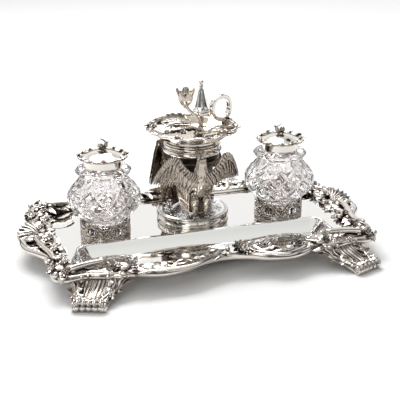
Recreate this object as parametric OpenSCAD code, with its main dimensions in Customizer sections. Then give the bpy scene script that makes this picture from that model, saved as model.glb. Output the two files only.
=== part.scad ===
// Silver rococo inkstand: a footed tray with a pen trough, two cut-glass ink bottles in pierced
// galleries, and three eagles carrying a lift-off chamberstick with its taper socket and snuffer.
// The origin is the middle of the footprint on the table, +X along the tray, -Y the writer's side.

/* [Tray] */
// Height of the tray's flat top above the table
plateau_z = 20; // [18:0.5:24]
// Thickness of the tray's silver sheet
sheet_t = 1.2; // [0.8:0.1:2]
// Half length of the tray's opening inside the side borders
inner_x = 150; // [148:1:152]
// Half depth of the tray's opening inside the front and back borders
inner_y = 79; // [77:1:81]
// Depth of the front pen trough
trough_depth = 12; // [8:0.5:13]
// Half length of the pen trough
trough_x = 125; // [118:1:128]
// Distance from the tray's middle to the trough's back edge
trough_back_y = 22; // [20:1:24]

/* [Cast border] */
// Half length over the shells at the middle of the sides
shell_x = 182; // [178:1:186]
// Half depth at the crest of the front and back scrolls
crest_y = 108; // [104:1:112]
// Height of the border's scroll above the tray
border_h = 5; // [3:0.5:7]

/* [Feet] */
// Radius of the scroll that each foot stands on
roll_r = 5; // [4:0.5:6]
// Width of a foot
foot_w = 30; // [24:1:32]

/* [Ink bottles] */
// Distance from the tray's middle to each bottle's axis, along the tray
well_x = 94; // [90:1:98]
// Distance from the tray's middle to the bottles' axes, towards the back
well_y = 6; // [4:1:8]
// Largest radius of the cut glass
belly_r = 37.2; // [35:0.1:38]
// Radius of the glass foot that stands in the gallery
bottle_foot_r = 22.4; // [21:0.1:22.6]
// Outer radius of the bottle's glass neck
neck_r = 17; // [15:0.1:17.4]
// Radius of the bottle's mouth
mouth_r = 12.5; // [10:0.5:13]
// Height of a gallery's crests
gallery_h = 16; // [12:0.5:17]

/* [Centre group] */
// Offset of the centre group from the tray's middle, along the tray
group_x = 2; // [0:0.5:4]
// Offset of the centre group from the tray's middle, towards the back
group_y = 19; // [17:0.5:20]
// Radius of the round plinth
plinth_r = 38; // [35:0.5:39]
// Height of the plinth
plinth_h = 9.6; // [8:0.2:12]
// Height of the collar's underside above the table
collar_z = 89; // [88:0.5:90]
// Outer radius of the collar
collar_r = 30; // [29:0.5:31]

/* [Chamberstick] */
// Radius of the chamberstick's pan inside its cast border
pan_r = 43.5; // [40:0.5:46]
// Height of the pan's rim above the table
pan_rim_z = 117; // [116:0.5:119]
// Direction of the finger ring and snuffer from the pan's middle, in degrees
handle_angle = 22; // [10:1:40]
// Outer radius of the finger ring
ring_r = 14; // [12:0.5:15]
// Radius of the bore that holds the taper
taper_r = 4.5; // [3:0.1:5]
// Depth of the bore that holds the taper
taper_depth = 11; // [8:0.5:11]

/* [Hidden] */
$fn = 96;

silver = "gainsboro";
oxidised = "rosybrown";
glass_tint = "lavender";
bolt_brass = "darkkhaki";

// Clearance between bodies that move past each other
gap = 0.35;
// Silver sheet of the raised pieces
wall = 1;
// Bite of one soldered casting into the next
bite = 0.4;

plinth_top_z = plateau_z + plinth_h;
seam_x = 112;
border_drop = 4.5;
// Depth of the worn flat under each foot's scroll
foot_flat = 0.4;
foot_start = [124, 86];
roll_at = [137, 121];
eagle_angles = [-92, 132, 48];
eagle_stand_r = 32;
// Distance of the eagles' necks from the group's axis
neck_at = 35.2;
bottle_z = plateau_z + gap;
band_z = bottle_z + 68.8;
cap_z = bottle_z + 79.2;
band_r = neck_r + gap + wall;
pan_floor_z = pan_rim_z - 9;
pan_floor_r = 31;
bezel_r = 26;
seat_d = 12;
seat_z = pan_floor_z + 24;
cone_z = seat_z + gap;
cone_h = 26;
cone_r = 8;
socket_at = [group_x - 7, group_y - 1];
socket_z = 140;
socket_h = 18;
ring_d = 38.5;
// The flower's stem, from the leaf's root on the pan to the socket's base
stem_route = [
    [group_x + 5, group_y - 1, pan_floor_z + 1], [group_x + 8, group_y - 3, pan_floor_z + 9],
    [group_x + 6, group_y - 4, pan_floor_z + 17], [group_x + 1, group_y - 4, pan_floor_z + 24],
    [group_x - 5, group_y - 2, pan_floor_z + 29], [group_x - 7, group_y - 1, socket_z + 1]
];

// A smooth closed curve through points, with n steps between neighbours
function between(a, b, c, d, t) =
    0.5 * (2 * b + (c - a) * t + (2 * a - 5 * b + 4 * c - d) * t * t
        + (3 * b - a - 3 * c + d) * t * t * t);
function closed_curve(p, n) =
    let (m = len(p)) [for (i = [0:m - 1]) for (k = [0:n - 1])
        between(p[(i + m - 1) % m], p[i], p[(i + 1) % m], p[(i + 2) % m], k / n)];
function open_curve(p, n) =
    let (m = len(p)) concat([for (i = [0:m - 2]) for (k = [0:n - 1])
        between(p[max(i - 1, 0)], p[i], p[i + 1], p[min(i + 2, m - 1)], k / n)], [p[m - 1]]);
function mirrored(p) = [for (i = [len(p) - 1:-1:0]) [-p[i][0], p[i][1]]];
function turned(p) = [for (q = p) -q];

// One quarter of the border's outer edge, from the middle of the right side to the back's middle
outer_quarter = [
    [shell_x, 0], [shell_x - 3, 15], [170, 28], [162, 42], [159, 60], [163, 78],
    [160, 90], [148, 95], [132, 94], [118, 98], [104, 99], [94, 95], [82, crest_y - 6],
    [64, crest_y], [42, crest_y - 4], [24, crest_y - 13], [8, crest_y - 18]
];
outer_half = concat(outer_quarter, mirrored(outer_quarter));
outer_edge = concat(outer_half, turned([for (i = [1:len(outer_half) - 2]) outer_half[i]]));

// A rectangle with rounded corners
module rounded(x, y, r) {
    for (sx = [-1, 1])
        for (sy = [-1, 1])
            translate([sx * (x - r), sy * (y - r)])
                circle(r = r);
    square([2 * (x - r), 2 * y], center = true);
    square([2 * x, 2 * (y - r)], center = true);
}

// A round bar between two points
module bar(a, b, r) {
    d = b - a;
    run = norm(d);
    translate(a)
        rotate([0, acos(d[2] / run), atan2(d[1], d[0])])
            cylinder(r = r, h = run, $fn = 24);
}

// Bars through a row of points, with a slightly fuller ball at each bend
module chain(p, r) {
    for (i = [0:len(p) - 2])
        bar(p[i], p[i + 1], r);
    for (i = [1:len(p) - 2])
        translate(p[i])
            sphere(r = r * 1.08, $fn = 24);
}

// The trough's hollow, or with grow > 0 the outside of its sheet
module trough_space(grow) {
    mid_y = -(trough_back_y + 84) / 2;
    half_y = (84 - trough_back_y) / 2;
    lift = grow > 0 ? 0 : 1;
    translate([0, mid_y, plateau_z])
        hull() {
            translate([0, 0, -grow])
                linear_extrude(lift + grow)
                    rounded(trough_x + grow, half_y + grow, 16, $fn = 32);
            translate([0, 0, -trough_depth * 0.75 - grow])
                linear_extrude(1)
                    rounded(trough_x - 8 + grow, half_y - 9 + grow, 12, $fn = 32);
            translate([0, 0, -trough_depth - grow])
                linear_extrude(1)
                    rounded(trough_x - 14 + grow, half_y - 15 + grow, 9, $fn = 32);
        }
}

// The shallow channel behind the bottles and its two round-nosed ends
module back_channel_space(grow) {
    end_r = 21;
    end_drop = 9;
    channel_r = 16;
    channel_drop = 5;
    channel_y = 79;
    for (side = [-1, 1])
        translate([side * 136, 44, plateau_z + end_r - end_drop]) {
            sphere(r = end_r + grow);
            rotate([-90, 0, 0])
                cylinder(r = end_r + grow, h = 34 + grow);
        }
    translate([-136 - grow, channel_y, plateau_z + channel_r - channel_drop])
        rotate([0, 90, 0])
            cylinder(r = channel_r + grow, h = 272 + 2 * grow);
}

module below_plateau() {
    intersection() {
        children();
        translate([-170, -110, 0])
            cube([340, 203, plateau_z]);
    }
}

module tray_plate() {
    color(silver)
        difference() {
            union() {
                translate([0, 0, plateau_z - sheet_t])
                    linear_extrude(sheet_t)
                        rounded(inner_x + 6, inner_y + 9, 14);
                trough_space(sheet_t);
                below_plateau()
                    back_channel_space(sheet_t);
            }
            trough_space(0);
            back_channel_space(0);
            translate([group_x, group_y, 0])
                cylinder(r = 2.6, h = plateau_z + 1);
        }
}

// The ring of castings between the tray's opening and the shaped outer edge
module border_plan() {
    difference() {
        polygon(closed_curve(outer_edge, 4));
        rounded(inner_x, inner_y, 20);
    }
}

module border_band() {
    translate([0, 0, plateau_z])
        linear_extrude(border_h - 1.5)
            border_plan();
    translate([0, 0, plateau_z - border_drop])
        linear_extrude(border_drop)
            difference() {
                polygon(closed_curve(outer_edge, 4));
                rounded(inner_x + 6, inner_y + 9, 14);
            }
}

// Cuts a casting back to the tray that it sits on
module fitted_to_tray() {
    difference() {
        children();
        linear_extrude(plateau_z)
            rounded(inner_x + 6, inner_y + 9, 14);
        below_plateau()
            back_channel_space(sheet_t);
    }
}

// Roundels for the flowers and knops along the border
module roundels(places, r) {
    for (p = places)
        translate([p[0], p[1], plateau_z + border_h - 2])
            sphere(r = r, $fn = 32);
}

// Two long scrolls with a flower between them, along the middle of the front or the back
module long_border() {
    difference() {
        union() {
            intersection() {
                border_band();
                translate([-seam_x, inner_y - 5, 0])
                    cube([2 * seam_x, 50, 60]);
            }
            roundels([for (s = [-1, 1]) for (x = [14, 88]) [s * x, 87]], 4);
            translate([0, inner_y + 5, plateau_z + 3])
                cylinder(r1 = 4, r2 = 7.5, h = 5);
        }
        translate([0, inner_y + 5, plateau_z + 5])
            cylinder(r1 = 2, r2 = 5.5, h = 4);
    }
}

module border_back() {
    color(silver)
        fitted_to_tray()
            long_border();
}

module border_front() {
    color(silver)
        fitted_to_tray()
            rotate([0, 0, 180])
                long_border();
}

// Shell, flowers and corner scrolls of the right-hand side
module side_border() {
    intersection() {
        border_band();
        difference() {
            translate([seam_x - 20, -140, 0])
                cube([120, 280, 60]);
            translate([0, -140, 0])
                cube([seam_x, 280, 60]);
        }
    }
    roundels([for (s = [-1, 1]) for (p = [[158, 26], [156, 48], [154, 84], [132, 88]])
        [p[0], s * p[1]]], 5.5);
    for (a = [-50:20:50])
        translate([158, 0, plateau_z + 2])
            rotate([0, 90, a])
                cylinder(r1 = 2, r2 = 4, h = shell_x - 160, $fn = 32);
}

module border_right() {
    color(silver)
        fitted_to_tray()
            side_border();
}

module border_left() {
    color(silver)
        fitted_to_tray()
            mirror([1, 0, 0])
                side_border();
}

// A shell foot: a broad fluted console that slopes out and down from the corner to a scroll
module foot() {
    reach = norm(roll_at - foot_start);
    foot_top = plateau_z - border_drop;
    console = closed_curve([
        [3, foot_top], [10, foot_top], [15, 13], [22, 10], [reach - 6, 8.8], [reach, roll_r],
        [reach - 3, 1.6], [reach - 10, 3.2], [15, 7], [6, 11]
    ], 4);
    translate([foot_start[0], foot_start[1], 0])
        rotate([0, 0, atan2(roll_at[1] - foot_start[1], roll_at[0] - foot_start[0])]) {
            rotate([90, 0, 0])
                linear_extrude(foot_w, center = true)
                    intersection() {
                        polygon(console);
                        square([2 * reach, foot_top]);
                    }
            difference() {
                translate([reach, 0, roll_r - foot_flat])
                    rotate([90, 0, 0])
                        cylinder(r = roll_r, h = foot_w + 2, center = true);
                translate([reach, 0, -roll_r])
                    cube([2 * roll_r, foot_w + 4, 2 * roll_r], center = true);
            }
        }
}

module foot_back_right() {
    color(oxidised)
        foot();
}

module foot_back_left() {
    color(oxidised)
        mirror([1, 0, 0])
            foot();
}

module foot_front_right() {
    color(oxidised)
        mirror([0, 1, 0])
            foot();
}

module foot_front_left() {
    color(oxidised)
        rotate([0, 0, 180])
            foot();
}

// A pierced ring with six lobes that holds a bottle's foot
module gallery(side) {
    inner_r = bottle_foot_r + gap + 0.35;
    outer_r = inner_r + 1.6;
    lobes = 6;
    translate([side * well_x, well_y, plateau_z])
        difference() {
            union() {
                cylinder(r = outer_r, h = gallery_h);
                cylinder(r = outer_r + 1.4, h = 1.2);
            }
            translate([0, 0, -1])
                cylinder(r = inner_r, h = gallery_h + 2);
            for (k = [0:lobes - 1])
                rotate([0, 0, k * 360 / lobes - 106]) {
                    translate([15, 0, gallery_h + 1])
                        rotate([0, 90, 0])
                            cylinder(r = 7, h = 15);
                    rotate([0, 0, 30])
                        translate([15, 0, 8])
                            rotate([0, 90, 0])
                                cylinder(r = 4, h = 15);
                }
        }
}

module gallery_left() {
    color(oxidised)
        gallery(-1);
}

module gallery_right() {
    color(oxidised)
        gallery(1);
}

module at_group(z) {
    translate([group_x, group_y, z])
        children();
}

module plinth_drum() {
    color(silver)
        at_group(plateau_z)
            rotate_extrude()
                polygon([
                    [plinth_r - 2.5, 0], [plinth_r, 0], [plinth_r, 1.4], [plinth_r - 1, 2.2],
                    [plinth_r - 1.2, plinth_h - 3], [plinth_r, plinth_h - 2],
                    [plinth_r, plinth_h - 0.4], [plinth_r - 0.8, plinth_h - 0.1],
                    [plinth_r - 1, plinth_h - wall], [plinth_r - 2.5, plinth_h - wall]
                ]);
}

// Where each eagle's two claws stand, and where its studs pass through the plinth's top
module at_claws() {
    for (a = eagle_angles)
        for (s = [-1, 1])
            at_group(0)
                rotate([0, 0, a])
                    translate([eagle_stand_r, 5.5 * s, 0])
                        children();
}

module plinth_top() {
    color(silver)
        difference() {
            at_group(plinth_top_z - wall)
                cylinder(r = plinth_r - 1, h = wall);
            at_group(plinth_top_z - 2)
                cylinder(r = 2.2, h = 3);
            at_claws()
                translate([0, 0, plinth_top_z - 2])
                    cylinder(r = 1.2, h = 3);
        }
}

module plinth_stud() {
    color(bolt_brass)
        at_group(0) {
            translate([0, 0, plateau_z - 6])
                cylinder(r = 2.2, h = plinth_h + 6);
            translate([0, 0, plinth_top_z])
                cylinder(r1 = 5, r2 = 3.5, h = 1.8);
        }
}

module plinth_nut() {
    color(bolt_brass)
        at_group(plateau_z - sheet_t - 3.2)
            difference() {
                cylinder(r = 7, h = 3.2);
                translate([0, 0, -1])
                    cylinder(r = 2.2, h = 6);
            }
}

module eagle_nuts() {
    color(bolt_brass)
        at_claws()
            translate([0, 0, plinth_top_z - wall - 2])
                difference() {
                    cylinder(r = 2, h = 2);
                    translate([0, 0, -1])
                        cylinder(r = 1.2, h = 4);
                }
}

// A standing eagle, without its wings, facing +X from the plinth's middle
module eagle_body(angle) {
    at_group(plinth_top_z)
        rotate([0, 0, angle]) {
            for (s = [-1, 1])
                translate([0, 5.5 * s, 0]) {
                    translate([eagle_stand_r, 0, -wall - 2])
                        cylinder(r = 1.2, h = 4, $fn = 24);
                    translate([eagle_stand_r, 0, 0])
                        cylinder(r1 = 4.6, r2 = 2.4, h = 2.6);
                    translate([eagle_stand_r, 0, 1])
                        rotate([0, -18, 0])
                            cylinder(r1 = 1.6, r2 = 5.6, h = 26);
                }
            translate([28.4, 0, 36])
                rotate([0, 12, 0])
                    rotate_extrude()
                        polygon(concat([[0, -17]], open_curve([
                            [3, -16.6], [7.6, -9], [9, 0], [7.8, 9], [4.6, 17], [3.4, 22]
                        ], 3), [[0, 23]]));
            translate([neck_at, 0, 52])
                rotate_extrude()
                    polygon(concat([[0, 0]], open_curve([
                        [3.2, 0.2], [4.2, 7], [3.9, 12], [4.6, 17], [3.6, 21]
                    ], 3), [[0, 22.4]]));
            translate([neck_at + 2.6, 0, 69.4])
                rotate([0, 104, 0])
                    cylinder(r1 = 2.4, r2 = 0.6, h = 6.4, $fn = 24);
            translate([16, 0, 1])
                rotate([0, 20, 0])
                    linear_extrude(30)
                        rounded(2, 9, 1.6, $fn = 24);
            // Ledge between the shoulders, under the collar
            translate([collar_r - 2.6, -3, collar_z - plinth_top_z - 3])
                cube([neck_at - collar_r + 2.6, 6, 3]);
        }
}

module eagle_front() {
    color(oxidised)
        eagle_body(eagle_angles[0]);
}

module eagle_back_left() {
    color(oxidised)
        eagle_body(eagle_angles[1]);
}

module eagle_back_right() {
    color(oxidised)
        eagle_body(eagle_angles[2]);
}

// Two wings on an arc about the group's axis: sweep is the angle of each tip from the eagle, bow
// keeps the wrist near the collar and droop lowers the tip
module eagle_wings(angle, sweep, tip_r, bow, droop) {
    wing = closed_curve([
        [0, 44], [0.12, 50], [0.24, 53], [0.38, 61], [0.5, 68.5], [0.66, 63], [0.84, 49],
        [1, 34], [0.8, 35], [0.5, 38], [0.28, 34], [0.1, 30]
    ], 2);
    slices = 7;
    root_r = 33.5;
    wing_t = 3.4;
    at_group(plinth_top_z)
        rotate([0, 0, angle])
            for (s = [-1, 1])
                for (k = [0:slices - 1])
                    rotate([0, 0, s * sweep * (k + 0.5) / slices]) {
                        r = root_r + (tip_r - root_r) * pow((k + 0.5) / slices, bow);
                        arc = (root_r + r) / 2 * sweep * PI / 180;
                        translate([r - 2.5, 0, 0])
                            intersection() {
                                rotate([90, 0, 90])
                                    linear_extrude(wing_t)
                                        translate([-s * arc * (k + 0.5) / slices, 0])
                                            polygon([
                                                for (p = wing)
                                                    [s * arc * p[0], p[1] - droop * p[0] * p[0]]
                                            ]);
                                translate([-3, -arc / slices * 0.62, 0])
                                    cube([9, arc / slices * 1.24, 80]);
                            }
                    }
}

module wings_front() {
    color(oxidised)
        eagle_wings(eagle_angles[0], 73, 46, 0.7, 0);
}

module wings_back_left() {
    color(oxidised)
        eagle_wings(eagle_angles[1], 27, 44, 1.8, 13);
}

module wings_back_right() {
    color(oxidised)
        eagle_wings(eagle_angles[2], 27, 44, 1.8, 13);
}

module collar_ring() {
    bore = bezel_r + gap + 0.2;
    color(silver)
        at_group(collar_z)
            rotate_extrude()
                polygon([
                    [bore, 0], [collar_r - 1.5, 0], [collar_r, 0.8], [collar_r, 2.6],
                    [collar_r - 1.4, 3.4], [collar_r - 2.4, 5], [collar_r - 2.4, 8],
                    [collar_r - 1, 9.4], [collar_r + 0.3, 10.2], [collar_r + 0.3, 12],
                    [collar_r - 1, 12.6], [bore, 12.6]
                ]);
}

module wafer_bowl() {
    lip = bezel_r + gap + 0.2;
    depth = 22;
    color(silver)
        at_group(collar_z)
            rotate_extrude()
                polygon([
                    [0, -depth], [9, -depth], [15, -depth + 3], [21, -depth + 9], [25, -5],
                    [lip + wall, -3], [lip + wall, 0], [lip, 0], [lip, -2.6], [24, -4.8],
                    [20, -depth + 9.6], [14.4, -depth + 4], [8.6, -depth + wall],
                    [0, -depth + wall]
                ]);
}

// Outside and inside of the blown and cut ink bottle, as height over its foot against radius
bottle_outer = open_curve([
    [bottle_foot_r - 1.6, 0], [bottle_foot_r, 1.6], [bottle_foot_r, 15], [25.5, 18.6],
    [31.5, 24.5], [36, 31], [belly_r, 37.5], [35.6, 44], [30.6, 50.5], [25.8, 55.5],
    [24, 60], [25.6, 62.6], [28, 64.6]
], 3);
bottle_inner = open_curve([
    [mouth_r, 60], [mouth_r + 2.5, 54], [22, 46], [25.5, 37], [23, 25], [17, 14], [12, 8]
], 3);

module bottle(side) {
    translate([side * well_x, well_y, bottle_z])
        rotate_extrude()
            polygon(concat(
                [[0, 0.6], [bottle_foot_r - 6, 0.6], [bottle_foot_r - 5, 0]],
                bottle_outer,
                [[28, 66.4], [26.5, 67.6], [neck_r + 0.8, 68.2], [neck_r, 69], [neck_r, 77.4],
                    [neck_r - 0.6, 78], [mouth_r + 0.6, 78], [mouth_r, 77.4]],
                bottle_inner, [[0, 7]]
            ));
}

module bottle_left() {
    color(glass_tint)
        bottle(-1);
}

module bottle_right() {
    color(glass_tint)
        bottle(1);
}

module at_bottle(side, z) {
    translate([side * well_x, well_y, z])
        children();
}

module cover_cap(side) {
    at_bottle(side, cap_z)
        rotate_extrude()
            polygon([
                [0, 0], [22, 0], [22, 1.2], [19, 1.8], [14, 4], [7, 5.6], [3, 6.2], [0, 6.2]
            ]);
}

module cover_cap_left() {
    color(silver)
        cover_cap(-1);
}

module cover_cap_right() {
    color(silver)
        cover_cap(1);
}

module cover_band(side) {
    at_bottle(side, band_z)
        rotate_extrude()
            polygon([
                [band_r - wall, 0], [band_r + 0.6, 0], [band_r + 0.6, 0.8], [band_r, 1.4],
                [band_r, cap_z - band_z], [band_r - wall, cap_z - band_z]
            ]);
}

module cover_band_left() {
    color(silver)
        cover_band(-1);
}

module cover_band_right() {
    color(silver)
        cover_band(1);
}

// Cast border of leaves round the cover, as a plain ring with knops
module cover_border(side) {
    at_bottle(side, cap_z) {
        rotate_extrude()
            polygon([
                [22, -0.6], [24, -1], [25.2, 0], [25, 1.6], [23.6, 2.6], [22, 2]
            ]);
        for (k = [0:7])
            rotate([0, 0, k * 45])
                translate([23.4, 0, 1.4])
                    sphere(r = 2, $fn = 24);
    }
}

module cover_border_left() {
    color(oxidised)
        cover_border(-1);
}

module cover_border_right() {
    color(oxidised)
        cover_border(1);
}

// Flower-bud finial with its curled twig
module cover_finial(side, turn) {
    at_bottle(side, cap_z + 6.2)
        rotate([0, 0, turn]) {
            cylinder(r1 = 3, r2 = 1.6, h = 3);
            translate([-2, 0, 4.4])
                sphere(r = 3.4, $fn = 32);
            translate([3.6, 0.8, 5])
                sphere(r = 3, $fn = 32);
            bar([3.2, 1.4, 5], [-1, 1.6, 11], 0.9);
        }
}

module cover_finial_left() {
    color(silver)
        cover_finial(-1, 0);
}

module cover_finial_right() {
    color(silver)
        cover_finial(1, 160);
}

// The dished plate of the chamberstick
module pan() {
    color(silver)
        at_group(pan_floor_z)
            rotate_extrude()
                polygon([
                    [0, 0], [pan_floor_r, 0], [36, 1.6], [40, 5], [pan_r, 8.4], [pan_r, 9.4],
                    [39.2, 6], [35.4, 2.8], [pan_floor_r - 0.4, wall], [0, wall]
                ]);
}

module pan_border() {
    knops = 15;
    color(oxidised)
        at_group(pan_floor_z + 8.4) {
            rotate_extrude()
                polygon([
                    [pan_r, 0], [45.5, -0.6], [47, 0.6], [46.8, 2.2], [45, 3], [pan_r, 2.4]
                ]);
            for (k = [0:knops - 1])
                rotate([0, 0, k * 360 / knops])
                    translate([45.2, 0, 1.8])
                        sphere(r = 2, $fn = 24);
        }
}

// Ring under the pan that drops into the collar
module pan_bezel() {
    color(silver)
        at_group(collar_z + 5)
            rotate_extrude()
                polygon([
                    [bezel_r - wall, 0], [bezel_r, 0], [bezel_r, 8], [bezel_r + 3, 8],
                    [bezel_r + 3, 9.2], [bezel_r, 10], [bezel_r, pan_floor_z - collar_z - 5],
                    [bezel_r - wall, pan_floor_z - collar_z - 5]
                ]);
}

// The broad leaf that lies across the pan's left side
module leaf() {
    blade = closed_curve([
        [8, -1], [2, -12], [-10, -18], [-24, -17], [-36, -8], [-40, 2], [-34, 10],
        [-22, 15], [-8, 13], [3, 7]
    ], 3);
    dome_r = 70;
    color(oxidised)
        intersection() {
            at_group(0)
                linear_extrude(200)
                    polygon(blade);
            translate([group_x - 14, group_y, pan_floor_z + 7.4 - dome_r])
                difference() {
                    sphere(r = dome_r);
                    sphere(r = dome_r - 1.2);
                }
            translate([0, 0, pan_floor_z + wall])
                translate([-100, -100, 0])
                    cube([200, 200, 40]);
        }
}

module flower_stem() {
    color(oxidised)
        difference() {
            chain(stem_route, 1.6);
            translate([0, 0, pan_floor_z - 10])
                cube([200, 200, 20 + 2 * wall], center = true);
        }
}

// Tulip-shaped socket, bored for the taper
module taper_socket() {
    petals = 5;
    cup = [
        [0, 0], [2.4, 0], [5, 2.4], [7.4, 7], [7.6, 12], [8.6, 16], [9.4, socket_h],
        [8.2, socket_h], [6.6, 15.6], [taper_r, 15], [taper_r, 15 - taper_depth],
        [0, 15 - taper_depth]
    ];
    color(silver)
        translate([socket_at[0], socket_at[1], socket_z])
            difference() {
                rotate_extrude()
                    polygon(cup);
                for (k = [0:petals - 1])
                    rotate([0, 0, k * 360 / petals])
                        translate([0, 0, socket_h + 0.6])
                            rotate([0, 90, 0])
                                cylinder(r = 2.4, h = 12, $fn = 32);
            }
}

module finger_ring() {
    color(silver)
        at_group(pan_floor_z + 9 + ring_r)
            rotate([0, 0, handle_angle])
                translate([ring_d, 0, 0])
                    rotate([90, 0, 0])
                        rotate_extrude()
                            translate([ring_r - 1.5, 0])
                                rounded(1.5, 2.8, 1.1, $fn = 24);
}

module at_snuffer(z) {
    at_group(z)
        rotate([0, 0, handle_angle])
            translate([seat_d, 0, 0])
                children();
}

module snuffer_seat() {
    color(silver)
        at_snuffer(pan_floor_z + wall)
            rotate_extrude()
                polygon([
                    [0, 0], [6, 0], [4, 2], [2.4, 8], [2.2, 13], [4, 17.6],
                    [9, 19.6], [9, seat_z - pan_floor_z - wall], [0, seat_z - pan_floor_z - wall]
                ]);
}

module snuffer_cone() {
    color(silver)
        at_snuffer(cone_z)
            rotate_extrude()
                polygon([
                    [cone_r - 1.2, 0], [cone_r + 0.4, 0], [cone_r + 0.4, 1], [cone_r - 0.6, 1.8],
                    [1.8, cone_h], [0, cone_h], [0, cone_h - 4], [0.6, cone_h - 4]
                ]);
}

module snuffer_knob() {
    color(silver)
        at_snuffer(cone_z + cone_h - bite) {
            cylinder(r = 1.4, h = 2.4);
            translate([0, 0, 3.8])
                sphere(r = 2.7, $fn = 48);
            cylinder(r = 2.4, h = 1);
        }
}

// Small square lug on the snuffer's side, towards the ring
module snuffer_lug() {
    lug = [4.6, 1.6, 8.6];
    color(silver)
        difference() {
            at_snuffer(cone_z + 3)
                translate([3.6, -lug[1] / 2, 0])
                    cube(lug);
            at_snuffer(cone_z)
                cylinder(r1 = cone_r - 0.1, r2 = 1.8, h = cone_h);
        }
}

tray_plate();
border_front();
border_back();
border_left();
border_right();
foot_front_left();
foot_front_right();
foot_back_left();
foot_back_right();
gallery_left();
gallery_right();
plinth_drum();
plinth_top();
plinth_stud();
plinth_nut();
eagle_front();
eagle_back_left();
eagle_back_right();
wings_front();
wings_back_left();
wings_back_right();
eagle_nuts();
collar_ring();
wafer_bowl();
bottle_left();
bottle_right();
cover_cap_left();
cover_cap_right();
cover_band_left();
cover_band_right();
cover_border_left();
cover_border_right();
cover_finial_left();
cover_finial_right();
pan();
pan_border();
pan_bezel();
leaf();
flower_stem();
taper_socket();
finger_ring();
snuffer_seat();
snuffer_cone();
snuffer_knob();
snuffer_lug();
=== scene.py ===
import math

import bmesh
import bpy
import numpy as np
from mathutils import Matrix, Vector


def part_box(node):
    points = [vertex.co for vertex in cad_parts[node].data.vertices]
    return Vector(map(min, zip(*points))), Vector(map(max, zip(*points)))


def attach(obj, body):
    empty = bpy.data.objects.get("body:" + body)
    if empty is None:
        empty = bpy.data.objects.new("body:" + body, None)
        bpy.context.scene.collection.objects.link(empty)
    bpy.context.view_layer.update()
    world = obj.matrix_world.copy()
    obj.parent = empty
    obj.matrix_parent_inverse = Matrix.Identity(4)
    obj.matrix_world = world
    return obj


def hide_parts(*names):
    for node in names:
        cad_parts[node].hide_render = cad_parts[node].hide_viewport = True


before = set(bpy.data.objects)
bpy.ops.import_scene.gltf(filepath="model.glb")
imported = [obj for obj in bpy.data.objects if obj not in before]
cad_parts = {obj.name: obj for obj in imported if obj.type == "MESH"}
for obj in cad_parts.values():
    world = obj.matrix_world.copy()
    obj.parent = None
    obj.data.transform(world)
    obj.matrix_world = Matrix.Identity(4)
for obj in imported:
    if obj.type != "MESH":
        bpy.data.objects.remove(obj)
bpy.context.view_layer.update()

# All shapes are made in millimetres in the CAD frame and scaled when they become meshes.
MM = 0.001
UP = np.array([0.0, 0.0, 1.0])
PI = math.pi
# how deeply the edge of a shell is scalloped, as a share of its radius
SCALLOP = 0.07


# ---------------------------------------------------------------- places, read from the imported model
def low(node):
    return np.array(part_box(node)[0]) / MM


def high(node):
    return np.array(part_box(node)[1]) / MM


def middle(node):
    return (low(node) + high(node)) / 2


TOP = high("tray_plate")[2]
GROUP = middle("plinth_drum")
PLINTH_R = (high("plinth_drum") - low("plinth_drum"))[0] / 2
PLINTH_TOP = high("plinth_top")[2]
COLLAR_Z = low("collar_ring")[2]
SIDES = {"left": -1, "right": 1}


# ---------------------------------------------------------------- mesh tools
def vec(*a):
    return np.array(a, float)


def ray(angle):
    """A level unit vector; the angle is in radians."""
    return vec(math.cos(angle), math.sin(angle), 0)


def around(n):
    """n angles evenly round a circle, in radians."""
    return np.linspace(0, 2 * PI, n, endpoint=False)


def unit(a):
    a = np.asarray(a, float)
    return a / np.maximum(np.linalg.norm(a, axis=-1, keepdims=True), 1e-9)


def smooth(t):
    t = np.clip(t, 0, 1)
    return t * t * (3 - 2 * t)


class Cast:
    """Patches of points, in millimetres, gathered into one mesh."""

    def __init__(self):
        self.points, self.faces, self.count = [], [], 0

    def grid(self, p, wrap_u=False, wrap_v=False, hole=None):
        """A sheet of quads; hole is a mask of the points, and quads wholly inside it are left out."""
        n, m = p.shape[:2]
        a, b = np.meshgrid(np.arange(n - (not wrap_u)), np.arange(m - (not wrap_v)), indexing="ij")
        c, d = (a + 1) % n, (b + 1) % m
        quads = np.stack([a * m + b, c * m + b, c * m + d, a * m + d], -1).reshape(-1, 4)
        if hole is not None:
            quads = quads[~hole.reshape(-1)[quads].all(1)]
        self.points.append(p.reshape(-1, 3))
        self.faces.append(quads + self.count)
        self.count += n * m

    def add(self, other, matrix=None, shift=(0, 0, 0)):
        """The patches of another Cast, turned by a 3x3 matrix and moved."""
        for p in other.points:
            q = p if matrix is None else p @ np.asarray(matrix).T
            self.points.append(q + np.asarray(shift, float))
        for f in other.faces:
            self.faces.append(f + self.count)
        self.count += other.count


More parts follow.
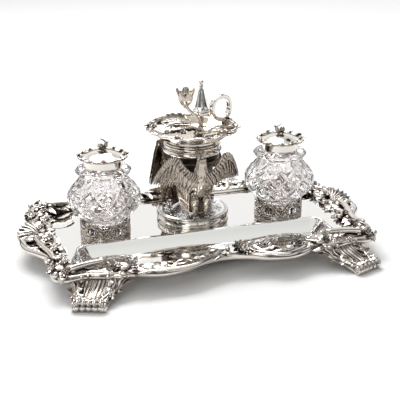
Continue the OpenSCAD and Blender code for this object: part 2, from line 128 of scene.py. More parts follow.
def piece(name, cast, material, body, replaces=None, turn=None, shift=(0, 0, 0)):
    """One Blender object from a Cast, turned and moved, that rides on a CAD body in place of a CAD node."""
    placed = Cast()
    placed.add(cast, turn, shift)
    co = np.concatenate(placed.points) * MM
    quads = np.concatenate(placed.faces)
    mesh = bpy.data.meshes.new(name)
    mesh.vertices.add(len(co))
    mesh.vertices.foreach_set("co", co.ravel())
    mesh.loops.add(quads.size)
    mesh.loops.foreach_set("vertex_index", quads.ravel())
    mesh.polygons.add(len(quads))
    mesh.polygons.foreach_set("loop_start", np.arange(0, quads.size, 4))
    mesh.update(calc_edges=True)
    bm = bmesh.new()
    bm.from_mesh(mesh)
    bmesh.ops.remove_doubles(bm, verts=bm.verts, dist=0.002 * MM)
    bmesh.ops.dissolve_degenerate(bm, edges=bm.edges, dist=0.001 * MM)
    bmesh.ops.recalc_face_normals(bm, faces=bm.faces)
    for f in bm.faces:
        f.smooth = True
    bm.to_mesh(mesh)
    bm.free()
    mesh.materials.append(material)
    obj = bpy.data.objects.new(name, mesh)
    bpy.context.scene.collection.objects.link(obj)
    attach(obj, body)
    if replaces:
        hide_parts(replaces)


def curve(points, n=10, closed=False):
    """A smooth path through points, with n steps between neighbours."""
    p = np.asarray(points, float)
    if closed:
        p = np.concatenate([p[-1:], p, p[:2]])
    else:
        p = np.concatenate([2 * p[:1] - p[1:2], p, 2 * p[-1:] - p[-2:-1]])
    t = np.linspace(0, 1, n, endpoint=False)[:, None]
    out = []
    for i in range(1, len(p) - 2):
        a, b, c, d = p[i - 1], p[i], p[i + 1], p[i + 2]
        out.append(0.5 * (2 * b + (c - a) * t + (2 * a - 5 * b + 4 * c - d) * t**2
                          + (3 * b - a - 3 * c + d) * t**3))
    if not closed:
        out.append(p[-2:-1])
    return np.concatenate(out)


def curl(start, heading, radius, turns, hand, steps=26, tight=0.86):
    """A flat spiral that leaves start along heading (radians) and winds in; hand is 1 to the left."""
    out, p, total = [], vec(*start), turns * 2 * PI
    for k in range(steps):
        f = (k + 0.5) / steps
        r = radius * (1 - tight * f)
        step = total / steps
        heading += hand * step / 2
        p = p + r * step * vec(math.cos(heading), math.sin(heading))
        heading += hand * step / 2
        out.append(p)
    return np.array(out)


def scroll(points, start=None, end=None, n=10):
    """A flat path with curls at its ends. start and end are (radius, turns, hand)."""
    path = curve(points, n)
    parts = [path]
    if end:
        d = path[-1] - path[-2]
        parts.append(curl(path[-1], math.atan2(d[1], d[0]), *end))
    if start:
        d = path[0] - path[1]
        parts.insert(0, curl(path[0], math.atan2(d[1], d[0]), *start)[::-1])
    return np.concatenate(parts)


def raised(path, z):
    """A flat path lifted to z, which is a number or one value at each end and the middle."""
    z = np.atleast_1d(np.asarray(z, float))
    t = np.linspace(0, 1, len(path))
    return np.column_stack([path, np.interp(t, np.linspace(0, 1, len(z)), z)])


def in_plane(path, origin, e1, e2):
    return np.asarray(origin, float) + path[:, :1] * np.asarray(e1, float) \
        + path[:, 1:2] * np.asarray(e2, float)


def profile(values, n):
    """Evenly spaced values, eased between, along n steps."""
    values = np.atleast_1d(np.asarray(values, float))
    if len(values) == 1:
        return np.full(n, values[0])
    x = np.linspace(0, len(values) - 1, n)
    i = np.clip(x.astype(int), 0, len(values) - 2)
    return values[i] + (values[i + 1] - values[i]) * smooth(x - i)


def axes_along(path, up):
    t = unit(np.gradient(path, axis=0))
    side = unit(np.cross(t, up))
    return side, unit(np.cross(side, t))


def bar(cast, path, radius, up=UP, sides=12, flat=1.0, reeds=0, depth=0.0):
    """A closed round bar of varying radius along a path; reeds are grooves along it."""
    path = np.asarray(path, float)
    r = profile(radius, len(path))
    side, normal = axes_along(path, up)
    path = np.concatenate([path[:1], path, path[-1:]])
    side = np.concatenate([side[:1], side, side[-1:]])
    normal = np.concatenate([normal[:1], normal, normal[-1:]])
    r = np.concatenate([[r[0] * 0.02], r, [r[-1] * 0.02]])
    a = around(sides)
    wave = 1 - depth * (0.5 - 0.5 * np.cos(reeds * a)) if reeds else np.ones(sides)
    cast.grid(path[:, None] + (r[:, None] * wave * np.cos(a))[..., None] * side[:, None]
              + (r[:, None] * wave * flat * np.sin(a))[..., None] * normal[:, None], wrap_v=True)


def ball(cast, at, radius, stretch=(1, 1, 1), rings=10, sides=16):
    t = np.linspace(0.02, PI - 0.02, rings)
    a = around(sides)
    p = np.stack([np.sin(t)[:, None] * np.cos(a), np.sin(t)[:, None] * np.sin(a),
                  np.cos(t)[:, None] * np.ones(sides)], -1)
    cast.grid(np.asarray(at, float) + p * radius * np.asarray(stretch, float), wrap_v=True)


def leaf(cast, path, width, up=UP, thick=0.6, cup=0.3, lobes=0, notch=0.35, veins=3,
         vein=0.1, across=12):
    """A closed blade along a path: lobed outline, raised midrib and veins, hollow when cup > 0."""
    path = np.asarray(path, float)
    n = len(path)
    u = np.linspace(0, 1, n)
    w = profile(width, n)
    if lobes:
        w = w * (1 - notch * (1 - np.mod(lobes * u, 1.0)) ** 1.5 * (u > 0.04))
    side, normal = axes_along(path, up)
    v = np.linspace(-1, 1, across)
    ridge = np.exp(-(v / 0.12) ** 2) * 0.8
    wave = ridge[None] + 0.5 * np.cos(PI * (2 * veins * np.abs(v)[None] - 2 * lobes * u[:, None]))
    rise = w[:, None] * (cup * v[None] ** 2 + vein * wave)
    over = path[:, None] + (w[:, None] * v)[..., None] * side[:, None] + rise[..., None] * normal[:, None]
    skin = thick * np.sin(PI * np.clip(0.06 + 0.9 * u, 0, 1))[:, None] * (1.02 - v[None] ** 2) ** 0.5
    under = over - skin[..., None] * normal[:, None]
    loop = np.concatenate([over, under[:, ::-1]], 1)
    first = loop[:1].mean(1, keepdims=True) + 0.02 * (loop[:1] - loop[:1].mean(1, keepdims=True))
    last = loop[-1:].mean(1, keepdims=True) + 0.02 * (loop[-1:] - loop[-1:].mean(1, keepdims=True))
    cast.grid(np.concatenate([first, loop, last]), wrap_v=True)


def sprig(cast, points, width, thick=0.7, cup=0.3, lobes=4, across=11, steps=6, **more):
    """A small leaf along a curve through points."""
    leaf(cast, curve(points, steps), width, thick=thick, cup=cup, lobes=lobes, across=across, **more)


def fan(cast, at, out, normal, radius, spread, flutes, dome=0.25, depth=0.06, thick=1.0,
        hollow=0.0):
    """A shell: a closed fan of flutes about the direction out, domed along normal."""
    out, normal = unit(out), unit(normal)
    side = np.cross(normal, out)
    per = 8
    a = np.linspace(-spread, spread, flutes * per + 1)
    wave = np.cos(PI * flutes * (a / spread))
    t = np.linspace(0.06, 1, 16)
    r = radius * t[:, None] * (1 - SCALLOP * (0.5 + 0.5 * wave[None]) * t[:, None] ** 2)
    lift = radius * (dome * np.sin(PI * np.clip(t * 0.85, 0, 1))[:, None]
                     - depth * t[:, None] * wave[None] - hollow * (a[None] / spread) ** 2 * t[:, None])
    over = np.asarray(at, float) + (r * np.cos(a))[..., None] * out + (r * np.sin(a))[..., None] * side \
        + lift[..., None] * normal
    under = over - thick * normal
    cast.grid(np.concatenate([over, under[:, ::-1]], 1), wrap_v=True)
    for i in (0, -1):
        cast.grid(np.stack([over[i], under[i]]))


def flower(cast, at, axis, radius, petals, open_=0.6, width=0.5, heart=0.22, spin=0.0, thick=0.5):
    """A cup of petals about an axis with a beaded heart."""
    axis = unit(axis)
    e1 = unit(np.cross(axis, [0.31, 0.95, 0.1]))
    e2 = np.cross(axis, e1)
    at = np.asarray(at, float)
    for k in range(petals):
        a = spin + 2 * PI * k / petals
        out = math.cos(a) * e1 + math.sin(a) * e2
        t = np.linspace(0, 1, 9)[:, None]
        path = at + radius * (t * out * (0.35 + 0.65 * open_ * t + 0.35 * (1 - open_))
                              + axis * (1.0 - 0.75 * open_) * np.sin(t * PI * 0.5) * 0.9)
        leaf(cast, path, [0.12 * radius, width * radius, width * radius * 0.9, 0.1 * radius], up=axis,
             thick=thick, cup=0.5, veins=1, vein=0.08, across=7)
    ball(cast, at + axis * radius * 0.2, radius * heart)


def revolve(cast, outline, n=96, at=(0, 0, 0), wave=None, wrap=True):
    """A closed (radius, height) outline turned about a vertical axis; wave scales the radius."""
    o = np.asarray(outline, float)
    a = around(n)
    r = o[:, :1] * (np.ones(n) if wave is None else wave(a[None], o[:, 1:2]))
    z = o[:, 1:2] * np.ones(n)
    p = np.stack([r * np.cos(a), r * np.sin(a), z], -1) + np.asarray(at, float)
    cast.grid(p, wrap_u=wrap, wrap_v=True)


def soft(outline, corner=0.5, n=4):
    """A closed outline with each corner rounded."""
    p = np.asarray(outline, float)
    out = []
    for i in range(len(p)):
        a, b, c = p[i - 1], p[i], p[(i + 1) % len(p)]
        ra = min(corner, 0.45 * np.linalg.norm(a - b))
        rc = min(corner, 0.45 * np.linalg.norm(c - b))
        s, e = b + unit(a - b) * ra, b + unit(c - b) * rc
        for t in np.linspace(0, 1, n):
            out.append((1 - t) ** 2 * s + 2 * t * (1 - t) * b + t**2 * e)
    return np.array(out)


def turn_z(degrees):
    c, s = math.cos(math.radians(degrees)), math.sin(math.radians(degrees))
    return np.array([[c, -s, 0], [s, c, 0], [0, 0, 1.0]])


MIRROR_X = np.diag([-1.0, 1, 1])
MIRROR_Y = np.diag([1.0, -1, 1])


# ---------------------------------------------------------------- materials
def new_material(name):
    """A material, its node tree and its shader."""
    m = bpy.data.materials.new(name)
    m.use_nodes = True
    return m, m.node_tree, m.node_tree.nodes["Principled BSDF"]


def noise(tree, scale, detail=2.0):
    """A cloudy pattern fixed to the object."""
    made = node(tree, "ShaderNodeTexNoise", {"Scale": scale, "Detail": detail})
    tree.links.new(node(tree, "ShaderNodeTexCoord").outputs["Object"], made.inputs["Vector"])
    return made.outputs["Fac"]


def bumped(tree, bsdf, height, strength, distance):
    lump = node(tree, "ShaderNodeBump", {"Strength": strength, "Distance": distance * MM})
    tree.links.new(height, lump.inputs["Height"])
    tree.links.new(lump.outputs["Normal"], bsdf.inputs["Normal"])


def mix(tree, share, first, second, **settings):
    """A colour mix of two colours or outputs; share is a number or an output."""
    made = node(tree, "ShaderNodeMix", data_type="RGBA", **settings)
    for socket, value in ((made.inputs[0], share), (made.inputs[6], first), (made.inputs[7], second)):
        if isinstance(value, bpy.types.NodeSocket):
            tree.links.new(value, socket)
        else:
            socket.default_value = value
    return made.outputs[2]


def node(tree, kind, inputs=(), **settings):
    made = tree.nodes.new(kind)
    for key, value in settings.items():
        setattr(made, key, value)
    for key, value in dict(inputs).items():
        made.inputs[key].default_value = value
    return made


def ramp(tree, stops, source):
    made = tree.nodes.new("ShaderNodeValToRGB")
    elements = made.color_ramp.elements
    while len(elements) < len(stops):
        elements.new(0.5)
    for e, (at, colour) in zip(elements, stops):
        e.position = at
        e.color = (*colour, 1) if len(colour) == 3 else (colour[0],) * 3 + (1,)
    tree.links.new(source, made.inputs["Fac"])
    return made.outputs["Color"]


def silver(name, bright, dark, rough, oxide_and_shade_reach=4.0, fine=0.5, bump=0.02, tarnish=0.0):
    """Polished silver with fine hammer and hand marks; occlusion darkens its hollows, as warm grey oxide in
    narrow recesses and as painted shade where the reach is wide.
    """
    m, tree, bsdf = new_material(name)
    link = tree.links.new
    # occlusion darkening: oxide in narrow recesses, painted shade over wider hollows
    occlusion = node(tree, "ShaderNodeAmbientOcclusion", {"Distance": oxide_and_shade_reach * MM}, samples=6,
                     only_local=True)
    edge = ramp(tree, [(0.42, (0.0,)), (0.72, (0.4,)), (0.95, (1.0,))], occlusion.outputs["AO"])
    cloud = noise(tree, 90.0, 4.0)
    mottle = ramp(tree, [(0.35, (0.72,)), (0.7, (1.0,))], cloud)
    mask = mix(tree, tarnish, edge, mottle, blend_type="MULTIPLY")
    link(mix(tree, mask, (*dark, 1), (*bright, 1)), bsdf.inputs["Base Color"])
    spread = node(tree, "ShaderNodeMapRange", {"To Min": rough * 0.7, "To Max": rough * 1.6})
    link(noise(tree, 420.0, 3.0), spread.inputs["Value"])
    link(spread.outputs["Result"], bsdf.inputs["Roughness"])
    bumped(tree, bsdf, cloud, bump, fine)
    bsdf.inputs["Metallic"].default_value = 1.0
    return m


def cut_glass():
    m, tree, bsdf = new_material("cut_glass")
    ripple = noise(tree, 120.0)
    shade = ramp(tree, [(0.2, (0.955, 0.93, 0.93)), (0.8, (0.99, 0.97, 0.968))], ripple)
    tree.links.new(shade, bsdf.inputs["Base Color"])
    bumped(tree, bsdf, ripple, 0.12, 0.3)
    for name, value in (("Roughness", 0.02), ("IOR", 1.5), ("Transmission Weight", 1.0)):
        bsdf.inputs[name].default_value = value
    return m


def plain_brass():
    m, tree, bsdf = new_material("fixings")
    shade = ramp(tree, [(0.3, (0.3, 0.24, 0.12)), (0.7, (0.62, 0.52, 0.3))], noise(tree, 260.0, 5.0))
    tree.links.new(shade, bsdf.inputs["Base Color"])
    bsdf.inputs["Metallic"].default_value = 1.0
    bsdf.inputs["Roughness"].default_value = 0.38
    return m


POLISHED = silver("polished_silver", (0.90, 0.885, 0.865), (0.50, 0.44, 0.37), 0.06, 2.0, 0.2, 0.008)
RIM = silver("turned_silver", (0.82, 0.775, 0.72), (0.12, 0.085, 0.06), 0.07, 3.0, 0.2, 0.01)
CAST = silver("cast_silver", (0.80, 0.745, 0.69), (0.08, 0.052, 0.035), 0.15, 4.0, 0.5, 0.08, 0.45)
GALLERY = silver("gallery_silver", (0.97, 0.90, 0.83), (0.06, 0.04, 0.027), 0.17, 2.0, 0.4, 0.08, 0.4)
# front eagle: the 6 mm occlusion reach lays painted shade over its hollows as well as oxide
EAGLE = silver("eagle_silver", (0.62, 0.545, 0.47), (0.012, 0.008, 0.005), 0.16, 6.0, 0.4, 0.1, 0.5)
# painted shade: a dim copy of the eagle silver for the back eagles and the tails
PAINTED_SHADE_EAGLE = silver("painted_shade_eagle_silver", (0.24, 0.185, 0.14), (0.02, 0.012, 0.008), 0.22, 3.0, 0.4, 0.1, 0.5)
ENGRAVED = silver("engraved_silver", (0.95, 0.94, 0.94), (0.16, 0.14, 0.13), 0.22, 1.6, 0.4, 0.02, 0.2)
FOLIAGE = silver("foliage_silver", (0.74, 0.68, 0.62), (0.04, 0.025, 0.017), 0.12, 5.0, 0.4, 0.07, 0.45)
# petals: the 7 mm occlusion reach lays painted shade under the petal tips as well as oxide
PETAL = silver("petal_silver", (0.66, 0.59, 0.52), (0.05, 0.033, 0.023), 0.18, 7.0, 0.4, 0.07, 0.4)
# painted shade: near-black silver for the parts that lie in shade under the collar
PAINTED_SHADE = silver("painted_shade_silver", (0.05, 0.034, 0.024), (0.02, 0.013, 0.009), 0.35, 8.0, 0.4, 0.06, 0.5)
SATIN = silver("worn_silver", (0.90, 0.89, 0.875), (0.50, 0.44, 0.37), 0.17, 2.0, 0.2, 0.02)
# pan silver: its 24 mm occlusion reach darkens the whole hollow of the pan, painted shade over the oxide
DISH_PAINTED_SHADE = silver("pan_silver_painted_shade", (0.66, 0.60, 0.535), (0.03, 0.02, 0.013), 0.1, 24.0, 0.2, 0.01)
GLASS = cut_glass()
BRASS = plain_brass()


# ---------------------------------------------------------------- tray
def inset(x, y, half_x, half_y, corner):
    """Distance inside a rounded rectangle, negative outside it."""
    qx, qy = np.abs(x) - half_x + corner, np.abs(y) - half_y + corner
    return corner - np.hypot(np.maximum(qx, 0), np.maximum(qy, 0)) - np.minimum(np.maximum(qx, qy), 0)


def eased(d, width=1.0):
    """A ramp that starts softly at zero."""
    return 0.5 * (d - width * 0.5 + np.sqrt((d - width * 0.5) ** 2 + width**2))


def tray_height(x, y):
    s = np.clip(eased(inset(x, y + 53, 129, 31, 13), 0.9) / 17, 0, 1)
    trough = 12 * (1 - (1 - s) ** 1.7)
    end = np.clip(eased(17.2 - np.hypot(np.abs(x) - 136, np.minimum(y - 44, 0)), 0.9) / 9, 0, 1)
    back = np.clip(eased(11.6 - np.abs(y - 79), 0.9) / 7, 0, 1)
    return TOP - trough - np.maximum(3.6 * (1 - (1 - end) ** 2), 2.2 * (1 - (1 - back) ** 2))


def tray():
    cast = Cast()
    y = np.linspace(-88, 88, 177)
    half = 156 - 14 + np.sqrt(14**2 - np.maximum(np.abs(y) - 74, 0) ** 2)
    x = np.linspace(-1, 1, 313)[:, None] * half[None]
    y = np.broadcast_to(y, x.shape)
    z = tray_height(x, y)
    over = np.stack([x, y, z], -1)
    cast.grid(np.concatenate([over, over[:, ::-1] - 1.2 * UP], 1), wrap_v=True)
    for i in (0, -1):
        cast.grid(np.stack([over[i], over[i] - 1.2 * UP]))
    piece("tray_sheet", cast, POLISHED, "stand", "tray_plate")


# ---------------------------------------------------------------- cast border
OUTLINE = [(182, 0), (179, 15), (170, 28), (162, 42), (159, 60), (163, 78), (160, 90), (148, 95),
           (132, 94), (118, 98), (104, 99), (94, 95), (82, 102), (64, 107), (42, 104), (24, 95), (8, 90)]
HALF = OUTLINE + [(-x, y) for x, y in OUTLINE[::-1]]
EDGE = curve(HALF + [(-x, -y) for x, y in HALF[1:-1]], 8, closed=True)


def web_profile(inner, outer, cast):
    """The ground of the castings between two edges: a cove, a bead and a rolled outer lip."""
    v = np.linspace(0, 1, 26)
    rise = np.interp(v, [0, 0.05, 0.18, 0.45, 0.7, 0.86, 0.95, 1.0],
                     [0.2, 0.9, 1.8, 1.5, 2.2, 3.2, 2.2, -0.6])
    p = inner[:, None] + (outer - inner)[:, None] * v[None, :, None]
    x, y = p[..., 0], p[..., 1]
    warp = np.sin(x * 0.21 + 1.3 * np.sin(y * 0.23)) + np.sin(y * 0.27 - 1.1 * np.sin(x * 0.19))
    twist = np.abs(np.sin(2.1 * warp + 0.13 * (x + y)))
    ground = 1.5 * (0.5 - twist) * np.sin(PI * np.clip(v * 1.12, 0, 1))[None] ** 0.7
    top = np.concatenate([p, (TOP + rise[None] + ground)[..., None]], -1)
    low_z = np.interp(v, [0, 0.3, 0.5, 0.94, 1], [TOP - 0.2, TOP - 0.4, TOP - 3.4, TOP - 4.2, TOP - 2])
    under = np.concatenate([p, np.broadcast_to(low_z, x.shape)[..., None]], -1)
    loop = np.concatenate([top, under[:, ::-1]], 1)
    cast.grid(loop, wrap_v=True)
    for i in (0, -1):
        cast.grid(np.stack([top[i], under[i]]))


def long_ground(cast):
    x = np.linspace(-112, 112, 300)
    edge = EDGE[(EDGE[:, 1] > 60) & (np.abs(EDGE[:, 0]) < 130)]
    edge = edge[np.argsort(edge[:, 0])]
    outer = np.column_stack([x, np.interp(x, edge[:, 0], edge[:, 1])])
    web_profile(np.column_stack([x, np.full_like(x, 82.5)]), outer, cast)


def side_ground(cast):
    a = np.radians(np.linspace(-89.9, 89.9, 360))
    e = EDGE[EDGE[:, 0] > 104] - vec(112, 0)
    turn = np.arctan2(e[:, 1], e[:, 0])
    order = np.argsort(turn)
    r = np.interp(a, turn[order], np.hypot(*e.T)[order])
    rays = np.column_stack([np.cos(a), np.sin(a)])
    reach = np.full_like(a, 90.0)
    for _ in range(30):
        q = vec(112, 0) + rays * reach[:, None]
        reach = reach + inset(q[:, 0], q[:, 1], 149.6, 78.6, 20)
    web_profile(vec(112, 0) + rays * reach[:, None], vec(112, 0) + rays * r[:, None], cast)


def rail(cast, pts, z, radius, start=None, end=None):
    """A moulded rail of the border with curled ends."""
    bar(cast, raised(scroll(pts, start, end), z), radius, flat=0.85, reeds=3, depth=0.22, sides=18)


def frond(cast, pts, z, width, lobes=5, veins=3):
    """An acanthus leaf laid along a flat path."""
    leaf(cast, raised(curve(pts, 7), z), width, lobes=lobes, cup=0.18, thick=1.2, veins=veins)


def corner(cast, kind):
    """The scrolls, petals and blossom over the foot in the (+x, +y) corner, from the tray's top up."""
    rail(cast, [(115, 79), (124, 80), (133, 82), (142, 85)], [5, 7.2, 7.4, 5], [2.2, 3.6, 3.6, 2.4],
         start=(3.0, 1.1, 1), end=(3.4, 1.0, -1))
    rail(cast, [(158, 60), (160, 68), (158, 76)], [3.5, 4.5, 4], [2.2, 3.2, 2.6], end=(4.2, 1.2, 1))
    rail(cast, [(84, 83), (90, 87), (94, 92)], [3, 4, 2.5], [2.0, 3.0, 2.4], end=(4.6, 1.3, -1))
    for x, y, r, h in ((143, 86, 2.7, 3), (152, 79, 3.6, 3), (114, 98, 2.3, -1), (159, 88, 3.2, 3.5),
                       (106, 88, 1.8, 4), (127, 92, 2.0, 1), (137, 93, 2.0, 0)):
        ball(cast, (x, y, h), r)
    flower(cast, (106, 90, 5), (-0.1, 0.5, 1), 6.5, 6, open_=0.55, heart=0.2)
    flower(cast, (150, 90, 4), (0.5, 0.6, 0.8), 5.5, 5, open_=0.6)
    flower(cast, (148, 71, 4.5), (0.2, 0.2, 1), 6.0, 6, open_=0.55, spin=0.5)
    # the toothed edge of the shell below the large scroll
    fan(cast, (128, 80, 2.2), (0.35, 0.94, -0.15), UP + vec(0.1, 0.35, 0), 15.5, 1.25, 9, dome=0.1,
        depth=0.06, thick=1.6)
    # polished hollow petals beside the foot
    for w, *pts in ((5.2, (111, 92), (105, 98), (97, 99)), (4.4, (100, 94), (93, 100), (85, 101))):
        leaf(cast, raised(curve(pts, 8), [2.5, 1.5, -0.5]), [1.0, w, w * 0.8, 0.3], cup=-0.45,
             thick=1.6, veins=0, vein=0.0)
    for w, h, *pts in ((4.4, (-1, 0.4, 0, -1), (112, 97), (104, 101), (96, 100), (88, 102)),
                      (4.4, (3, 3, 1.5, -1), (96, 90), (88, 94), (81, 95), (78, 101)),
                      (4.4, (3, 0.5, -4), (116, 90), (114, 96), (115, 101)),
                      (4.4, (4, 2, -3), (152, 84), (155, 91), (156, 96)),
                      (4.2, (4, 3.4, 1.5), (118, 78), (110, 77), (103, 80)),
                      (5.2, (4, 3.4, 1.2), (134, 80), (128, 73), (120, 69)),
                      (5.4, (4, 3.8, 1.4), (144, 80), (141, 71), (135, 64)),
                      (5.2, (4, 3.6, 1.2), (156, 74), (150, 66), (143, 60)),
                      (4.0, (2, 3.4, 1.6), (90, 86), (98, 83), (106, 79))):
        frond(cast, pts, h, [w * 0.5, w, w * 0.75, 0.4])
    if kind:
        ball(cast, (122, 88, 4), 2.2)
    else:
        flower(cast, (160, 80, 4), (0.6, 0.3, 0.8), 6.5, 6)


def side_motifs(cast, kind):
    """Shell, roses, scrolls and leaves of the +x side; it is not quite the same in front and behind."""
    fan(cast, (159, 12, 1), (1, 0.12, 0.06), UP + vec(0, -0.35, 0), 23, 1.15, 9, dome=0.14, depth=0.05,
        thick=3, hollow=0.04)
    fan(cast, (158, 5, 4), (1, -0.7, 0), UP + vec(0, -0.5, 0), 14, 1.1, 7, dome=-0.3, depth=0.05, thick=1.6)
    fan(cast, (152, 66, 3), (0.7, 0.7, 0.1), UP + vec(0, -0.4, 0), 17, 1.2, 7, dome=-0.25, depth=0.06,
        thick=1.8)
    leaf(cast, raised(curve([(158, 20), (162, 30), (168, 40), (171, 44)], 9), [4, 6.5, 5, 2]),
         [3, 6.5, 5, 0.5], lobes=6, cup=0.35, thick=1.4)
    rail(cast, [(165, -3), (164, -14), (161, -27), (157, -41), (155.5, -54)], [4, 5, 4], [2.6, 3.4, 2.6],
         start=(4.5, 1.2, -1), end=(3.6, 1.1, -1))
    rail(cast, [(166, 28), (163, 38), (158, 48), (157, 58)], [4, 4.6, 4], [2.2, 3.0, 2.4],
         start=(4.2, 1.2, 1), end=(3.6, 1.1, 1))
    rail(cast, [(150, 18), (148, 27), (151, 36)], [3, 4.5, 3], [1.6, 2.6, 1.6], start=(3.4, 1.1, -1),
         end=(3.2, 1.0, 1))
    rail(cast, [(150, -22), (152, -31), (148, -38)], [3.6, 5, 3.6], [1.6, 2.8, 1.8], start=(3, 1.0, 1),
         end=(2.8, 1.0, -1))
    for w, *pts in ((4.4, (160, 40), (166, 47), (165, 55)), (5.0, (152, 38), (144, 44), (138, 46)),
                   (5.0, (153, 50), (146, 56), (140, 62)), (4.4, (155, 8), (148, 9), (144, 14)),
                   (4.4, (158, 60), (164, 68), (164, 76)), (4.4, (152, -4), (146, -8), (144, -14)),
                   (5.4, (156, -40), (150, -47), (142, -50)), (5.4, (155, -52), (148, -57), (140, -58)),
                   (5.0, (158, -30), (153, -42), (155, -52)), (5.2, (157, -56), (152, -64), (144, -66)),
                   (4.0, (160, -48), (162, -56), (160, -64)), (4.2, (150, -30), (144, -34), (141, -40))):
        frond(cast, pts, [3, 3.8, 1.0], [w * 0.5, w, w * 0.75, 0.4])
    for x, y, r in ((150, 24, 1.9), (165, 31, 1.9), (147, 51, 2.6), (153, 62, 2.4), (151, -45, 2.2),
                    (161, -60, 2.4), (147, 3, 2.0)):
        ball(cast, (x, y, 4.4), r)
    roses = (((153, -11), 8.0), ((149, 40), 6.5), ((157, 22), 5.5), ((160, 54), 6.0), ((148, 64), 6.0),
             ((152, -38), 6.5), ((150, -58), 6.0))
    for k, ((x, y), r) in enumerate(roses[kind:] if kind else roses[:6]):
        flower(cast, (x, y, 3.4), (0.35, -0.25 + 0.12 * math.sin(3 * k), 1), r, 5 + k % 2, open_=0.58,
               heart=0.24, spin=k)


def long_motifs(cast):
    """The two long scrolls and the cup-shaped flower between them, drawn for the front (-y) edge."""
    rail(cast, [(-68, -97), (-58, -104), (-44, -104.5), (-28, -101), (-12, -92), (-4, -84)],
         [1.5, 1.8, 4.5], [1.4, 2.9, 2.9, 1.8], start=(3.0, 1.1, -1), end=(4.6, 1.15, 1))
    rail(cast, [(27, -84), (36, -95), (54, -106), (72, -101), (88, -87), (96, -80)],
         [3, 1.6, 2.4], [1.2, 2.8, 2.9, 2.0], end=(3.4, 1.0, 1))
    leaf(cast, raised(curve([(42, -99), (33, -88), (29, -78), (28, -73)], 8), [2, 4.5, 2]),
         [1.2, 3.2, 2.4, 0.3], cup=0.3, thick=1.4)
    # cup-shaped flower with its toothed rim
    flower(cast, (17, -87, 1.5), (0.1, -0.5, 0.95), 11.5, 9, open_=0.5, width=0.36, heart=0.16, thick=0.9)
    flower(cast, (17, -87, 2.5), (0.1, -0.5, 0.95), 6, 6, open_=0.35, heart=0.3, spin=0.4)
    ball(cast, (6, -82, 4), 2.6)
    ball(cast, (4, -90, 2.2), 2.4)
    ball(cast, (29, -94, 2.6), 1.8)
    frond(cast, [(4, -88), (-4, -93), (-14, -98)], [1, 2.6, 1], [1.6, 3.4, 2.4, 0.4])
    flower(cast, (79, -86, 2), (-0.15, -0.7, 0.75), 9, 8, open_=0.45, width=0.4, heart=0.14, thick=0.8)
    for w, *pts in ((5.0, (72, -92), (62, -96), (52, -97), (44, -94)), (4.2, (56, -92), (48, -90), (41, -86)),
                    (5.0, (-22, -90), (-32, -95), (-44, -98), (-54, -96)),
                    (4.2, (-30, -89), (-40, -90), (-50, -92)), (3.8, (-10, -86), (-18, -89), (-26, -88))):
        frond(cast, pts, [1.4, 2.4, 1.2], [w * 0.5, w, w * 0.8, 0.4], lobes=7, veins=4)
    frond(cast, [(60, -92), (52, -88), (44, -91)], [1.8, 3.2, 1.6], [1.2, 3, 2.2, 0.3])
    for w, *pts in (
            (3.8, (-70, -97), (-66, -90), (-62, -83)), (3.8, (-74, -97), (-80, -90), (-77, -83)),
            (4.4, (-78, -100), (-86, -95), (-90, -87)), (4.0, (-70, -99), (-78, -104), (-88, -102)),
            (4.0, (-94, -94), (-99, -89), (-97, -82)), (3.6, (-100, -97), (-92, -100), (-84, -97)),
            (2.8, (-66, -98), (-56, -93), (-48, -88)), (3.2, (96, -88), (101, -84), (105, -80)),
            (2.4, (-30, -97), (-37, -92), (-43, -88)), (2.8, (92, -92), (84, -98), (76, -97)),
            (3.8, (104, -88), (109, -84), (108, -79)), (2.2, (-14, -92), (-8, -87), (-10, -83)),
            (2.6, (-50, -103), (-58, -97), (-60, -90)), (2.4, (66, -101), (74, -95), (72, -88))):
        frond(cast, pts, [1.6, 2.8, 1.0], [w * 0.5, w, w * 0.7, 0.4])
    flower(cast, (-88, -88, 2.6), (-0.2, -0.6, 1), 6, 5, open_=0.6)
    flower(cast, (-104, -90, 2.6), (0.2, -0.5, 1), 5, 5, open_=0.6, spin=1)


def borders():
    half_turn, up_to_top = turn_z(180), (0, 0, TOP)
    long_web, motifs, corners = Cast(), Cast(), (Cast(), Cast())
    long_ground(long_web)
    long_motifs(motifs)
    for kind in (0, 1):
        corner(corners[kind], kind)
    for name, turn in (("front", np.eye(3)), ("back", half_turn)):
        cast = Cast()
        cast.add(long_web, half_turn @ turn)
        cast.add(motifs, turn, up_to_top)
        piece("border_" + name + "_casting", cast, CAST, "stand", "border_" + name)
    for name, s in SIDES.items():
        kind = int(s > 0)
        flip = np.diag([s, 1.0, 1.0])
        ground, motifs, cast = Cast(), Cast(), Cast()
        side_ground(ground)
        side_motifs(motifs, kind)
        cast.add(ground, flip)
        cast.add(motifs, flip, up_to_top)
        cast.add(corners[kind], flip @ MIRROR_Y, up_to_top)
        cast.add(corners[1 - kind], flip, up_to_top)
        piece("border_" + name + "_casting", cast, CAST, "stand", "border_" + name)


